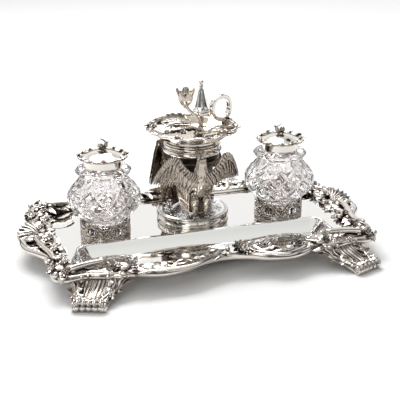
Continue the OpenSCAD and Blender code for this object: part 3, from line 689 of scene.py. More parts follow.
# ---------------------------------------------------------------- feet
def foot(cast):
    """A fluted shell between leafy scrolled sides, curving out and down to a roll, in the (+x, +y) corner."""
    start, roll = vec(124, 86), vec(137, 121)
    reach = np.linalg.norm(roll - start)
    out = np.append(unit(roll - start), 0)
    side = np.cross(UP, out)
    base = vec(*start, 0)

    def at(r, w, z):
        return base + np.multiply.outer(r, out) + np.multiply.outer(w, side) + np.multiply.outer(z, UP)

    line = curve([(3.5, 21.4), (6.5, 18.6), (11.0, 14.0), (18, 10.2), (26, 7.8), (32.5, 7.2),
                  (reach + 0.5, 9.2)], 9)
    u = np.linspace(0, 1, len(line))
    left = np.interp(u, [0, 0.35, 0.7, 1], [-20, -17.5, -14.5, -12.6])
    right = np.interp(u, [0, 0.35, 0.7, 1], [31, 25, 17.4, 14.4])
    v = np.linspace(-1, 1, 141)
    w = (left + right)[:, None] / 2 + (right - left)[:, None] / 2 * v[None]
    hollow = np.clip(1 - (v[None] / 0.7) ** 2 - ((u[:, None] - 0.46) / 0.52) ** 2, 0, 1) ** 0.5
    lane = v[None] * 10 + 1.1 * np.sin(3.2 * u[:, None] + 2 * v[None])
    wave = 0.5 * np.cos(PI * lane) + 0.25 * np.cos(2.3 * PI * lane + 4 * u[:, None])
    ragged = np.sin(19 * v[None] + 9 * u[:, None]) * np.cos(23 * u[:, None] - 7 * v[None])
    z = line[:, 1:] + 1.2 - 1.7 * hollow + wave * (0.5 + 1.3 * hollow) + 0.9 * ragged * (hollow < 0.05)
    over = at(line[:, :1] + 0 * w, w, z)
    under = at(line[:, :1] - 0.6 + 0 * w, w * 0.97, np.maximum(z - 3.6, 0.4))
    cast.grid(np.concatenate([over, under[:, ::-1]], 1), wrap_v=True)
    for i in (0, -1):
        cast.grid(np.stack([over[i], under[i]]))
    stem = np.array([at(p[0], 1.0, p[1]) for p in curve([(-2, 16), (6, 12), (14, 8), (24, 5), (32, 3.4)], 6)])
    bar(cast, stem, [12, 12, 11], up=UP, flat=0.2)

    def along(f, g, rise):
        """A point of the shell: f down its length, g from its left edge (-1) to its right edge (1)."""
        k = f * (len(line) - 1)
        r, h = np.interp(k, np.arange(len(line)), line[:, 0]), np.interp(k, np.arange(len(line)), line[:, 1])
        a, b = np.interp(f, u, left), np.interp(f, u, right)
        return at(r, (a + b) / 2 + (b - a) / 2 * g, h + rise)

    # leafy frame round the fluted hollow
    ring = around(15)
    for k, t in enumerate(ring):
        f, g = 0.46 + 0.47 * math.sin(t), 0.76 * math.cos(t)
        f2, g2 = 0.46 + 0.34 * math.sin(t + 0.3), 0.56 * math.cos(t + 0.3)
        a0, b0 = along(f, g, 1.6), along(f2, g2, 0.4)
        sprig(cast, [a0, (a0 + b0) / 2 + 1.5 * UP, b0], [1.4, 3.3, 2.6, 0.3], 0.9, 0.25, 3, 15,
              up=UP + 0.4 * out)
    edge = np.linspace(0, 2 * PI, 60)
    oval = np.array([along(0.46 + 0.49 * math.sin(t), 0.8 * math.cos(t), 1.3) for t in edge])
    bar(cast, oval, [1.1], sides=10)
    # bottom roll with lobes over it and a coil at each end
    mid = (left[-1] + right[-1]) / 2
    w = np.linspace(-13.5, 13.5, 61)
    swell = np.concatenate([[0.3], 3.9 + 0.6 * np.cos(w * PI / 3.0), [0.3]])
    a = around(26)
    w = mid + np.concatenate([w[:1], w, w[-1:]])
    cast.grid(at(reach + swell[:, None] * np.cos(a), np.repeat(w[:, None], 26, 1),
                 4.8 + swell[:, None] * np.sin(a)), wrap_v=True)
    for k in range(-2, 3):
        lobe = at(np.array([reach - 8, reach - 3, reach + 2.4, reach + 4.6, reach + 3.6]),
                  np.full(5, mid + 5.2 * k), np.array([8.4, 10.6, 9.4, 5.4, 1.8]))
        leaf(cast, curve(lobe, 6), [1.3, 2.8, 2.6, 2.0, 0.8], up=UP + 0.6 * out, lobes=0, thick=1.0,
             cup=-0.35, veins=1)
    for s, far in ((-1, left), (1, right)):
        spiral = curl((0, 0), -PI / 2, 4.2, 1.6, 1, 40, 0.8)
        spiral = spiral - spiral[-1]
        bar(cast, at(reach + spiral[:, 0], np.full(40, mid + 14.2 * s), 4.9 + spiral[:, 1]), [1.5, 1.4, 0.8],
            up=side, sides=10)
        ball(cast, at(reach, mid + 14.6 * s, 4.9), 2.0)
        for push, radius, drop in ((0.4, 2.0, 0.4), (-2.6, 1.1, 1.6)):
            w_edge = np.interp([0, 0.2, 0.45, 0.7, 0.9, 1], u, far) + s * push
            rz = np.array([(-1, 17.5), (5, 15.6), (13, 10.8), (22, 7.0), (31, 4.2), (reach + 0.6, 2.2)])
            path = np.array([at(p[0], x, max(p[1] - drop, 1.2)) for p, x in zip(rz, w_edge)])
            bar(cast, curve(path, 6), [0.7 * radius, radius, radius, 0.8 * radius], up=UP, reeds=3, depth=0.2,
                sides=16)
        # side leaves springing back under the border
        for r0, h0, grow, size in ((28, 5.6, 0.35, 3.0), (19, 8.4, 0.7, 3.6), (9, 13.4, 1.0, 3.8)):
            x0 = np.interp(r0 / reach, u, far)
            a0, b0 = at(r0, x0, h0), at(r0 - 6, x0 + s * (5 + 4 * grow), h0 + 1.4)
            sprig(cast, [a0, (a0 + b0) / 2 + 1.6 * UP, b0], [1, size, size * 0.8, 0.3], 1.0, 0.25, 4, 15)


def feet():
    cast = Cast()
    foot(cast)
    for name, turn in (("back_right", None), ("back_left", MIRROR_X), ("front_right", MIRROR_Y),
                       ("front_left", turn_z(180))):
        piece("foot_" + name + "_casting", cast, CAST, "stand", "foot_" + name, turn)


# ---------------------------------------------------------------- bottles and their galleries
def gallery_cast():
    cast = Cast()
    n, rows = 540, 60
    a = around(n)
    place = (np.degrees(a) + 106) % 60
    off = np.minimum(place, 60 - place)
    crest = 15.6 - 5.2 * np.sqrt(np.maximum(1 - (off / 13.5) ** 2, 0))
    crest = crest - 0.5 * np.abs(np.cos(3 * np.radians(place * 6)))
    v = np.linspace(0, 1, rows)
    z = v[None] * crest[:, None]
    dx = (np.abs(30 - place)[:, None]) / 30 * 12.6
    oval = np.hypot(dx / 5.8, (z - 7.6) / 4.7)
    relief = np.exp(-((oval - 1) / 0.13) ** 2) * 1.7
    coil = np.hypot((dx - 9.4) / 2.6, (z - 4.6) / 3.0)
    relief = np.maximum(relief, np.exp(-((coil - 0.9) / 0.26) ** 2) * 1.8 + np.exp(-(coil / 0.3) ** 2) * 1.6)
    hole = (oval < 0.87) | ((coil > 1.35) & (coil < 1.75) & (dx > 9))
    coil = np.hypot((dx - 7.2) / 2.2, (z - 12.4) / 2.2)
    relief = np.maximum(relief, np.exp(-((coil - 0.9) / 0.3) ** 2) * 1.6)
    rim = np.exp(-((crest[:, None] - z) / 1.0) ** 2) * 1.5
    leafage = 1.2 * np.abs(np.sin(dx * 0.95 + z * 0.75)) * (oval > 1.15)
    foot_ring = np.exp(-((z - 0.7) / 0.8) ** 2) * 1.9
    r = 23.7 + np.maximum.reduce([relief, rim, leafage, foot_ring])
    outer = np.stack([r * np.cos(a)[:, None], r * np.sin(a)[:, None], z], -1)
    inner = np.stack([23.2 * np.cos(a)[:, None] + 0 * z, 23.2 * np.sin(a)[:, None] + 0 * z, z], -1)
    hole &= (z > 2.4) & (z < crest[:, None] - 1.2)
    cast.grid(np.concatenate([outer, inner[:, ::-1]], 1), wrap_u=True, wrap_v=True,
              hole=np.concatenate([hole, hole[:, ::-1]], 1))
    return cast


def glass_cast():
    """The blown bottle with its cut belly, fluted shoulder and faceted flange."""
    outline = [(16.4, 0.6), (17.4, 0), (20.8, 0), (22.2, 1.4), (22.4, 4), (22.4, 15), (23.6, 17), (26, 19.2),
               (31.2, 24), (34.8, 28.6), (36.6, 33), (37.2, 37.5), (36.6, 41.6), (34.6, 45.6), (31.4, 49.6),
               (28.4, 52.6), (25.8, 55.8), (24.3, 58.8), (24.4, 61.2), (26.4, 63.4), (28.2, 64.8),
               (28.2, 66.2), (26.6, 67.4), (19, 68.1), (17.2, 69), (17, 76.8), (16.3, 78), (13.2, 78),
               (12.5, 77), (12.5, 60), (14, 55.5), (18, 50.5), (22, 46), (25, 40), (25.4, 35),
               (24.6, 30), (22.4, 23.6), (17, 14.4), (12.4, 8.6), (8, 7)]
    outline = [(0.05, 0.6)] + outline + [(0.05, 7)]
    o = np.asarray(outline, float)
    fine = [o[0]]
    for p, q in zip(o[:-1], o[1:]):
        steps = max(1, int(np.linalg.norm(q - p) / 0.7))
        fine += [p + (q - p) * (k + 1) / steps for k in range(steps)]
    fine = np.array(fine)
    for _ in range(2):
        fine[1:-1] = (fine[:-2] + 2 * fine[1:-1] + fine[2:]) / 4
    outside = (np.arange(len(fine)) < np.argmin(np.abs(fine - (16.3, 78)).sum(1)))[:, None]

    def wave(a, z):
        cut = np.zeros(np.broadcast(a, z).shape)
        belly = smooth((z - 20) / 3) * smooth((53.5 - z) / 3)
        t = (z - 20.5) / 32
        for sign in (-1, 1):
            d = np.abs((12 * a / (2 * PI) + sign * t * 2.0 + 0.5) % 1 - 0.5)
            cut = np.maximum(cut, (1 - d / 0.17) * (d < 0.17))
        cross = np.abs((12 * a / (2 * PI) + 0.5) % 1 - 0.5)
        cut = np.maximum(cut, 0.55 * (1 - cross / 0.1) * (cross < 0.1) * (np.abs(t - 0.5) < 0.28))
        for level in (0.0, 0.98):
            d = np.abs(t - level)
            cut = np.maximum(cut, 0.8 * (1 - d / 0.035) * (d < 0.035))
        cut = 0.052 * cut * belly
        flute = 0.075 * (0.5 + 0.5 * np.cos(12 * a)) ** 0.8 \
            * smooth((z - 50.5) / 3) * smooth((63.6 - z) / 2.4)
        facet = (1 / np.cos((a + PI / 12) % (PI / 6) - PI / 12) - 1) * smooth((z - 62.8) / 1) \
            * smooth((67.8 - z) / 0.6)
        foot_flute = 0.02 * (0.5 + 0.5 * np.cos(24 * a)) * smooth((15.5 - z) / 2) * smooth((z - 1.5) / 1)
        return 1 - (cut + flute + facet * 0.9 + foot_flute) * outside

    cast = Cast()
    revolve(cast, fine, 480, wave=wave, wrap=False)
    return cast


def bottle_pieces():
    gallery, glass = gallery_cast(), glass_cast()
    for name, s in SIDES.items():
        at = middle("bottle_" + name)
        at[2] = low("bottle_" + name)[2]
        piece("gallery_" + name + "_casting", gallery, GALLERY, "stand", "gallery_" + name,
              shift=(at[0], at[1], TOP))
        piece("bottle_" + name + "_glass", glass, GLASS, "bottle_" + name, "bottle_" + name, turn_z(7 * s),
              at)


# ---------------------------------------------------------------- plinth and collar
def turned(name, node_name, outline, body, material=RIM, corner=0.4, n=192):
    """A lathe-turned part in place of its CAD node; heights are from the node's own underside."""
    lo, hi = low(node_name), high(node_name)
    cast = Cast()
    revolve(cast, soft(outline, corner), n, ((lo[0] + hi[0]) / 2, (lo[1] + hi[1]) / 2, lo[2]))
    piece(name, cast, material, body, node_name)


def plinth():
    h, p = PLINTH_TOP - TOP, PLINTH_R
    turned("plinth_drum_turned", "plinth_drum",
           [(p - 2.5, 0), (p - 1.4, 0), (p - 1.4, 1.0), (p - 0.5, 2.0), (p - 0.1, 3.6), (p - 0.3, h - 2.6),
            (p - 1.2, h - 1.8), (p - 0.9, h - 1.1), (p - 0.4, h - 0.6), (p - 0.8, h - 0.1),
            (p - 1.1, h - 1), (p - 2.5, h - 1)], "stand")
    cast = Cast()
    r, a = np.meshgrid(np.linspace(0.3, p - 1, 150), around(720), indexing="ij")
    x, y = r * np.cos(a), r * np.sin(a)
    line = np.zeros_like(x)

    def cut(distance, width=0.34, deep=1.0):
        np.maximum(line, deep * np.exp(-((distance / width) ** 2)), out=line)

    cut(r - p + 2.6)
    cut(r - p + 3.8, 0.25)
    cut(r - 18)
    for k in range(9):
        ang = 2 * PI * (k + 0.5) / 9
        cx, cy = 26 * math.cos(ang), 26 * math.sin(ang)
        rho, phi = np.hypot(x - cx, y - cy), np.arctan2(y - cy, x - cx)
        petal = 4.6 * (0.62 + 0.38 * np.abs(np.cos(2.5 * phi + k)))
        cut(rho - petal)
        cut(rho - 1.2, 0.3)
        cut(rho - petal * 0.55, 0.25, 0.6)
        mid = ang + PI / 9
        d = np.angle(np.exp(1j * (a - mid)))
        cut(r - 25 - 5.2 * np.sin(9 * d + 1.0), 0.3, 0.9)
        cut(np.where(np.abs(d) < 0.3, r - 24 + 3.4 * np.cos(18 * d), 9), 0.3, 0.8)
    z = -0.5 * line
    over = np.stack([x, y, z], -1)
    under = np.stack([x, y, np.full_like(x, -1.0)], -1)
    cast.grid(np.concatenate([over, under[::-1]], 0), wrap_u=True, wrap_v=True)
    piece("plinth_top_engraved", cast, ENGRAVED, "stand", "plinth_top",
          shift=(GROUP[0], GROUP[1], PLINTH_TOP))
    # the bezel's tube is 3 mm inside its flange, and the collar's bore leaves 0.55 mm round it
    bore = (high("pan_bezel") - low("pan_bezel"))[0] / 2 - 3 + 0.55
    turned("collar_turned", "collar_ring",
           [(bore, 0), (27.2, 0), (27.2, 3.6), (29.5, 3.9), (30.6, 5), (30.6, 6.8), (29.4, 8.2),
            (28.5, 8.8), (28.8, 9.8), (29.5, 11), (29.4, 12.4), (bore, 12.6)], "stand", corner=0.6)
    # a near-black ring round the collar's foot: painted shade under the collar
    skirt = Cast()
    revolve(skirt, [(27.0, -0.2), (27.7, -0.2), (27.7, 3.9), (27.0, 3.9)], 120,
            (GROUP[0], GROUP[1], COLLAR_Z + 0.2))
    piece("collar_painted_shade_skirt", skirt, PAINTED_SHADE, "stand")


# ---------------------------------------------------------------- eagles
def plumage(cast, path, across, flat, rows, columns, height=0.7):
    """A round body covered in rows of overlapping feathers along a path."""
    path = np.asarray(path, float)
    n = len(path)
    side, normal = axes_along(path, vec(1, 0, 0))
    r = profile(across, n)
    a = around(columns * 8)
    u = np.linspace(0, rows, n)[:, None]
    c = columns * a[None] / (2 * PI)
    plume = np.zeros((n, len(a)))
    for odd in (0, 0.5):
        local = 2 * ((c + odd) % 1) - 1
        plume = np.maximum(plume, ((-u / 2 + odd - 0.34 * local**2) % 1) * (1 - 0.25 * np.abs(local)))
    rr = r[:, None] + height * (plume - 0.4)
    p = path[:, None] + (rr * np.cos(a))[..., None] * side[:, None] * flat \
        + (rr * np.sin(a))[..., None] * normal[:, None]
    ends = [p[:1].mean(1, keepdims=True) + 0.02 * (p[:1] - p[:1].mean(1, keepdims=True)),
            p[-1:].mean(1, keepdims=True) + 0.02 * (p[-1:] - p[-1:].mean(1, keepdims=True))]
    cast.grid(np.concatenate([ends[0], p, ends[1]]), wrap_v=True)


def eagle_body(look, tuck):
    """An eagle standing on the plinth, facing +X; look is the head's turn in degrees and tuck draws it in."""
    cast = Cast()
    plumage(cast, curve([(21, 0, 14), (23.5, 0, 21), (26.5, 0, 29), (28.8, 0, 37), (31.4, 0, 46),
                         (33.6, 0, 53), (35.0 - 0.5 * tuck, 0, 60), (35.8 - tuck, 0, 66)], 16),
            [3.6, 7.2, 8.8, 9.2, 7.6, 5.6, 4.4, 4.0], 1.08, 17, 16)
    for s in (-1, 1):
        plumage(cast, curve([(27.5, 6 * s, 27), (30, 6.2 * s, 20), (31.6, 6 * s, 12), (32.2, 5.6 * s, 6.2)],
                            14)[::-1], [1.9, 3.0, 5.0, 5.6], 1.0, 9, 10, 0.6)
        bar(cast, [(32.2, 5.6 * s, 7), (32.4, 5.5 * s, 4), (32.6, 5.5 * s, 2)], [1.9, 1.6, 2.2])
        for spread in (-0.55, 0.0, 0.55):
            out = ray(spread)
            toe = curve([vec(32.6, 5.5 * s, 2.2), vec(32.6, 5.5 * s, 2.4) + 2.4 * out,
                         vec(32.6, 5.5 * s, 1.5) + 4.3 * out], 5)
            bar(cast, toe, [1.5, 1.45, 1.2], sides=10)
            claw = curve([toe[-1], toe[-1] + 1.2 * out + 0.2 * UP, toe[-1] + 1.9 * out - 1.2 * UP], 4)
            bar(cast, claw, [1.0, 0.75, 0.15], sides=8)
        bar(cast, [(32.2, 5.5 * s, 2), (30, 5.5 * s, 1.8), (28.4, 5.5 * s, 0.8)], [1.4, 1.1, 0.3], sides=8)
    # ruff of pointed feathers where the neck meets the breast
    for k in range(14):
        a = 2 * PI * k / 14
        for z, r0, r1, size in ((56, 5.0, 7.6, 11), (62, 4.4, 5.9, 9)):
            d = ray(a + 0.22 * (z == 62))
            c = vec(33.6 + (z - 50) * 0.16, 0, z)
            plume = [c + d * r0, c + d * (r0 + r1) / 2 - vec(0.8, 0, size / 2),
                     c + d * r1 - vec(1.8, 0, size)]
            leaf(cast, curve(plume, 5), [1.0, 1.7, 1.5, 0.2], up=d, thick=0.6, cup=-0.25, veins=1,
                 vein=0.08, across=9)
    # head
    head = Cast()
    plumage(head, curve([(0, 0, -5), (0.1, 0, 0), (0.8, 0, 3.6), (1.4, 0, 5.4)], 10), [4.1, 4.6, 4.1, 2.2],
            0.92, 7, 14, 0.4)
    bar(head, curve([(3.4, 0, 1.7), (6.0, 0, 2.0), (8.0, 0, 0.9), (8.7, 0, -1.6), (8.2, 0, -3.2)], 6),
        [2.3, 2.1, 1.6, 1.0, 0.25], up=vec(0, 1, 0), flat=0.8)
    bar(head, curve([(3.2, 0, -0.6), (5.6, 0, -1.0), (7.0, 0, -1.7)], 5), [1.6, 1.2, 0.4], up=vec(0, 1, 0))
    for s in (-1, 1):
        bar(head, curve([(0.8, 3.4 * s, 3.0), (3.4, 2.9 * s, 3.2), (5.0, 1.5 * s, 2.4)], 5), [0.5, 1.1, 0.5])
        ball(head, (3.2, 2.7 * s, 1.7), 1.05)
    c, s = math.cos(math.radians(look)), math.sin(math.radians(look))
    nod = math.radians(14)
    pitch = np.array([[math.cos(nod), 0, math.sin(nod)], [0, 1, 0], [-math.sin(nod), 0, math.cos(nod)]])
    cast.add(head, np.array([[c, -s, 0], [s, c, 0], [0, 0, 1]]) @ pitch, (35.9 - tuck, 0, 69 - tuck))
    return cast


def eagle_tail():
    cast = Cast()
    for k in range(-4, 5):
        tail = curve([(26.5, 1.3 * k, 32), (22, 2.0 * k, 18), (18.5, 2.6 * k, 1.5 + 0.25 * abs(k))], 9)
        for face in (-1, 1):
            leaf(cast, tail + vec(0.5 * face - 0.12 * abs(k), 0, 0), [1.6, 2.2, 2.3, 1.3],
                 up=vec(face, 0, 0.2), thick=0.7, cup=-0.12, veins=5, vein=0.05)
    return cast


WING_TOP = [(-0.02, 44), (0.1, 48.5), (0.2, 51), (0.3, 55.5), (0.38, 60.5), (0.45, 66), (0.5, 68.4),
            (0.56, 68), (0.66, 63.5), (0.8, 52.5), (0.92, 42), (1.02, 34)]


def wing_top(f):
    p = np.array(WING_TOP)
    return np.interp(f, p[:, 0], p[:, 1])


def eagle_wings(sweep, tip_r, bow, droop, train):
    """Both wings of an eagle facing +X, laid on an arc about the group's axis; train adds long hanging
    feathers below the wing on the eagle's right."""
    cast = Cast()
    root_r = 33.5

    def put(s, points, lift):
        p = np.asarray(points, float)
        f, z = p[:, 0], p[:, 1]
        r = root_r + (tip_r - root_r) * np.clip(f, 0, 1.05) ** bow + lift
        a = np.radians(s * sweep * f)
        out = np.column_stack([np.cos(a), np.sin(a), np.zeros(len(a))])
        return out * r[:, None] + UP * (z - droop * f * f)[:, None], out

    def feather(s, a, b, width, lift0, lift1, bend=0.0, n=9, **more):
        t = np.linspace(0, 1, n)
        a, b = vec(*a), vec(*b)
        mid = (a + b) / 2 + bend * vec(1, 0)
        pts = (1 - t[:, None]) ** 2 * a + 2 * (t * (1 - t))[:, None] * mid + t[:, None] ** 2 * b
        path, out = put(s, pts, lift0 + (lift1 - lift0) * t)
        more.setdefault("veins", 5)
        leaf(cast, path, [width * 0.6, width, width, width * 0.8, width * 0.12], up=out, thick=0.7, cup=-0.16,
             vein=0.045, across=13, **more)

    for s in (-1, 1):
        # long flight feathers hanging from the wrist, then the shorter ones towards the body
        for k in range(9):
            t = k / 8
            feather(s, (0.60 - 0.12 * t, 63 - 4 * t), (1.0 - 0.46 * t, 34 + 5 * t - 2.5 * math.sin(3 * t)),
                    2.2, 0.2 + 0.5 * t, 0.8 - 0.8 * t, 0.05)
        for k in range(7):
            t = k / 6
            feather(s, (0.46 - 0.34 * t, 57 - 12 * t), (0.50 - 0.38 * t, 37.5 - 7 * t), 2.2, 0.6 + 0.2 * t,
                    -0.4 * t, 0.02)
        for row, (drop, length, lift) in enumerate(((9, 14, 1.2), (5.5, 10, 1.8), (2.5, 6.5, 2.3))):
            for k in range(11):
                f = 0.06 + 0.76 * (k + 0.5 * (row % 2)) / 10.5
                z = wing_top(f) - drop * (1 - 0.5 * smooth((f - 0.6) / 0.3))
                end = max(z - length, 36 + 2 * row)
                feather(s, (f, z), (f + 0.02 + 0.12 * max(0, f - 0.35), end), 2.0 - 0.25 * row,
                        lift, lift - 0.4, veins=3)
        # leading edge with its own small feathers
        f = np.linspace(0.0, 0.97, 60)
        edge, out = put(s, np.column_stack([f, wing_top(f) - 1.6]), 0.4)
        bar(cast, edge, [1.2, 1.4, 1.5, 1.7, 1.4, 1.0, 0.5], up=out, sides=14)
        for row in range(3):
            for k in range(23):
                f = 0.02 + 0.92 * (k + 0.5 * (row % 2)) / 23
                z = wing_top(f) + 0.9 - 2.1 * row
                feather(s, (f, z), (f + 0.03, z - 4.6), 1.15, 2.3 - 0.1 * row, 2.9 - 0.1 * row, veins=2, n=6)
        # the skin that the feathers grow from
        f = np.linspace(0, 0.97, 30)
        bottom = np.interp(f, [0, 0.3, 0.5, 0.8, 0.97], [33, 38, 41, 40, 37])
        v = np.linspace(0, 1, 14)
        sheet = []
        for lift in (0.2, -1.2):
            rows = [put(s, np.column_stack([f, wing_top(f) - 1.5 + (bottom - wing_top(f) + 1.5) * t]),
                        lift)[0] for t in v]
            sheet.append(np.stack(rows))
        cast.grid(np.concatenate([sheet[0], sheet[1][::-1]]), wrap_u=True)
        if train and s < 0:
            for k in range(7):
                t = k / 6
                a0, a1 = math.radians(-38 + 15 * t), math.radians(-38 + 16 * t)
                top = 37.2 * ray(a0) + (49 - 3 * t) * UP
                hem = (25 + 5 * t) * ray(a1) + (1.5 + 1.5 * math.sin(5 * t)) * UP
                for lift, size in ((0.0, 2.0), (1.3, 1.4)):
                    path = curve([top + vec(lift, -lift, 0),
                                  (top + hem) / 2 + vec(1.4 + lift, -1.4 - lift, 1),
                                  hem + vec(lift * 0.5, -lift * 0.5, 9 * lift)], 6)
                    leaf(cast, path, [1.2, size, size, size * 0.7, 0.3], up=vec(0.8, -0.6, 0.1), thick=0.8,
                         cup=-0.2, veins=3, vein=0.05, across=13)
        # shoulder
        plumage(cast, curve([(29, 2 * s, 34), (31.5, 4.5 * s, 42), (33.5, 6.5 * s, 48)], 12), [5, 4.6, 3.0],
                1.0, 7, 10, 0.6)
    return cast


def eagles():
    at, tail = (GROUP[0], GROUP[1], PLINTH_TOP), eagle_tail()
    spread, folded = (73, 46, 0.7, 0, True), (27, 44, 1.8, 13, False)
    # the back eagles and their wings take the dim eagle silver: painted shade
    for name, angle, look, tuck, metal, wing in (("front", -92, -38, 0, EAGLE, spread),
                                                 ("back_left", 132, 25, 2.6, PAINTED_SHADE_EAGLE, folded),
                                                 ("back_right", 48, -25, 2.6, PAINTED_SHADE_EAGLE, folded)):
        eagle, turn = "eagle_" + name, turn_z(angle)
        piece(eagle + "_casting", eagle_body(look, tuck), metal, "stand", eagle, turn, at)
        # every tail, the front one too, takes the dim eagle silver: painted shade between the legs
        piece(eagle + "_tail", tail, PAINTED_SHADE_EAGLE, "stand", None, turn, at)
        piece("wings_" + name + "_feathers", eagle_wings(*wing), metal, "stand", "wings_" + name, turn, at)


# ---------------------------------------------------------------- covers
def covers():
    for name, s in SIDES.items():
        body = "cover_" + name
        turned("cap_" + name + "_turned", "cover_cap_" + name,
               [(0.02, 0), (22, 0), (22.1, 0.8), (21.4, 1.4), (19, 1.9), (16.4, 2.9), (13, 4.3), (9.4, 5.3),
                (6, 5.8), (3.4, 6.1), (0.02, 6.2)], body, corner=0.8)
        turned("band_" + name + "_turned", "cover_band_" + name,
               [(17.35, 0), (18.9, 0), (19, 0.5), (18.4, 1.2), (18.35, 8), (18.6, 9.2), (19, 10.4),
                (17.35, 10.4)], body, corner=0.3)
        at = middle("cover_border_" + name)
        at[2] = low("cover_cap_" + name)[2]
        cast = Cast()
        revolve(cast, soft([(21.6, -0.6), (24, -0.9), (24.9, 0.2), (24.2, 1.6), (22.6, 2.1), (21.6, 1.4)],
                           0.5), 192, wave=lambda a, z: 1 + 0.012 * np.cos(24 * a))
        for k in range(12):
            a = 2 * PI * k / 12
            d, t = ray(a), vec(-math.sin(a), math.cos(a), 0)
            c = 23.2 * d + 1.5 * UP
            sprig(cast, [c - 3.6 * t + 0.8 * d, c + 0.6 * d + 0.9 * UP, c + 3.8 * t - 0.6 * d],
                  [0.8, 2.7, 2.2, 0.3], 0.8, 0.25, across=9)
            sprig(cast, [c + 2 * t, c - 2.2 * d + 1.2 * t + 1.2 * UP, c - 4.6 * d - 0.6 * t + 0.9 * UP],
                  [0.7, 1.9, 1.5, 0.2], cup=0.25, across=9)
            if k % 3 == 0:
                flower(cast, c + 0.4 * d + 0.3 * UP, UP + 0.3 * d, 2.6, 5, open_=0.6, heart=0.3)
            else:
                spiral = curl((0, 0), 0.4, 1.5, 1.3, 1, 20, 0.8)
                bar(cast, in_plane(spiral, c + 0.8 * UP, t, d), [0.6, 0.55, 0.4], sides=8)
            ball(cast, 24.4 * ray(a + 0.26) + 1.0 * UP, 0.95)
        piece("cover_border_" + name + "_casting", cast, CAST, body, "cover_border_" + name, turn_z(10 * s),
              at)
        # flower-bud finial with its curled twig
        cast = Cast()
        revolve(cast, soft([(0.02, -0.4), (3.4, -0.4), (3.2, 0.6), (2.0, 1.4), (1.6, 2.6), (0.02, 2.8)], 0.4),
                48)
        for k in range(5):
            a = 2 * PI * k / 5 + 0.3
            d = ray(a)
            sprig(cast, [0.8 * d + 0.8 * UP, 3.4 * d + 1.6 * UP, 5.6 * d + 0.6 * UP], [0.8, 1.9, 1.5, 0.2],
                  0.6, 0.25, across=9, steps=5)
        for k in range(5):
            a = 2 * PI * k / 5
            d = ray(a)
            b = vec(-2.0, 0, 2.2)
            sprig(cast, [b + 0.6 * d, b + 2.8 * d + 2 * UP, b + 2 * d + 5.2 * UP], [0.8, 2.3, 2.0, 0.4], 0.6,
                  -0.4, 0, 9, 5, up=d, veins=1)
        ball(cast, (-2.0, 0, 5), 2.3)
        twig = curve([(2.0, 1.0, 2), (4.2, 1.2, 5), (3.4, 1.5, 8.2), (0.4, 1.6, 10.6), (-1.6, 1.6, 11.4)], 7)
        bar(cast, twig, [1.3, 1.2, 0.95, 0.8, 0.5], sides=10)
        ball(cast, (3.8, 1.0, 4.6), 2.3, (1, 0.9, 1.1))
        leaf(cast, curve([(4, 1.2, 5.4), (5.8, 0.4, 7.4), (5.6, -1.2, 9.2)], 5), [0.5, 1.7, 1.3, 0.2],
             thick=0.5, lobes=3)
        at[2] = high("cover_cap_" + name)[2]
        piece("cover_finial_" + name + "_casting", cast, PETAL, body, "cover_finial_" + name,
              turn_z(0 if s < 0 else 160), at)


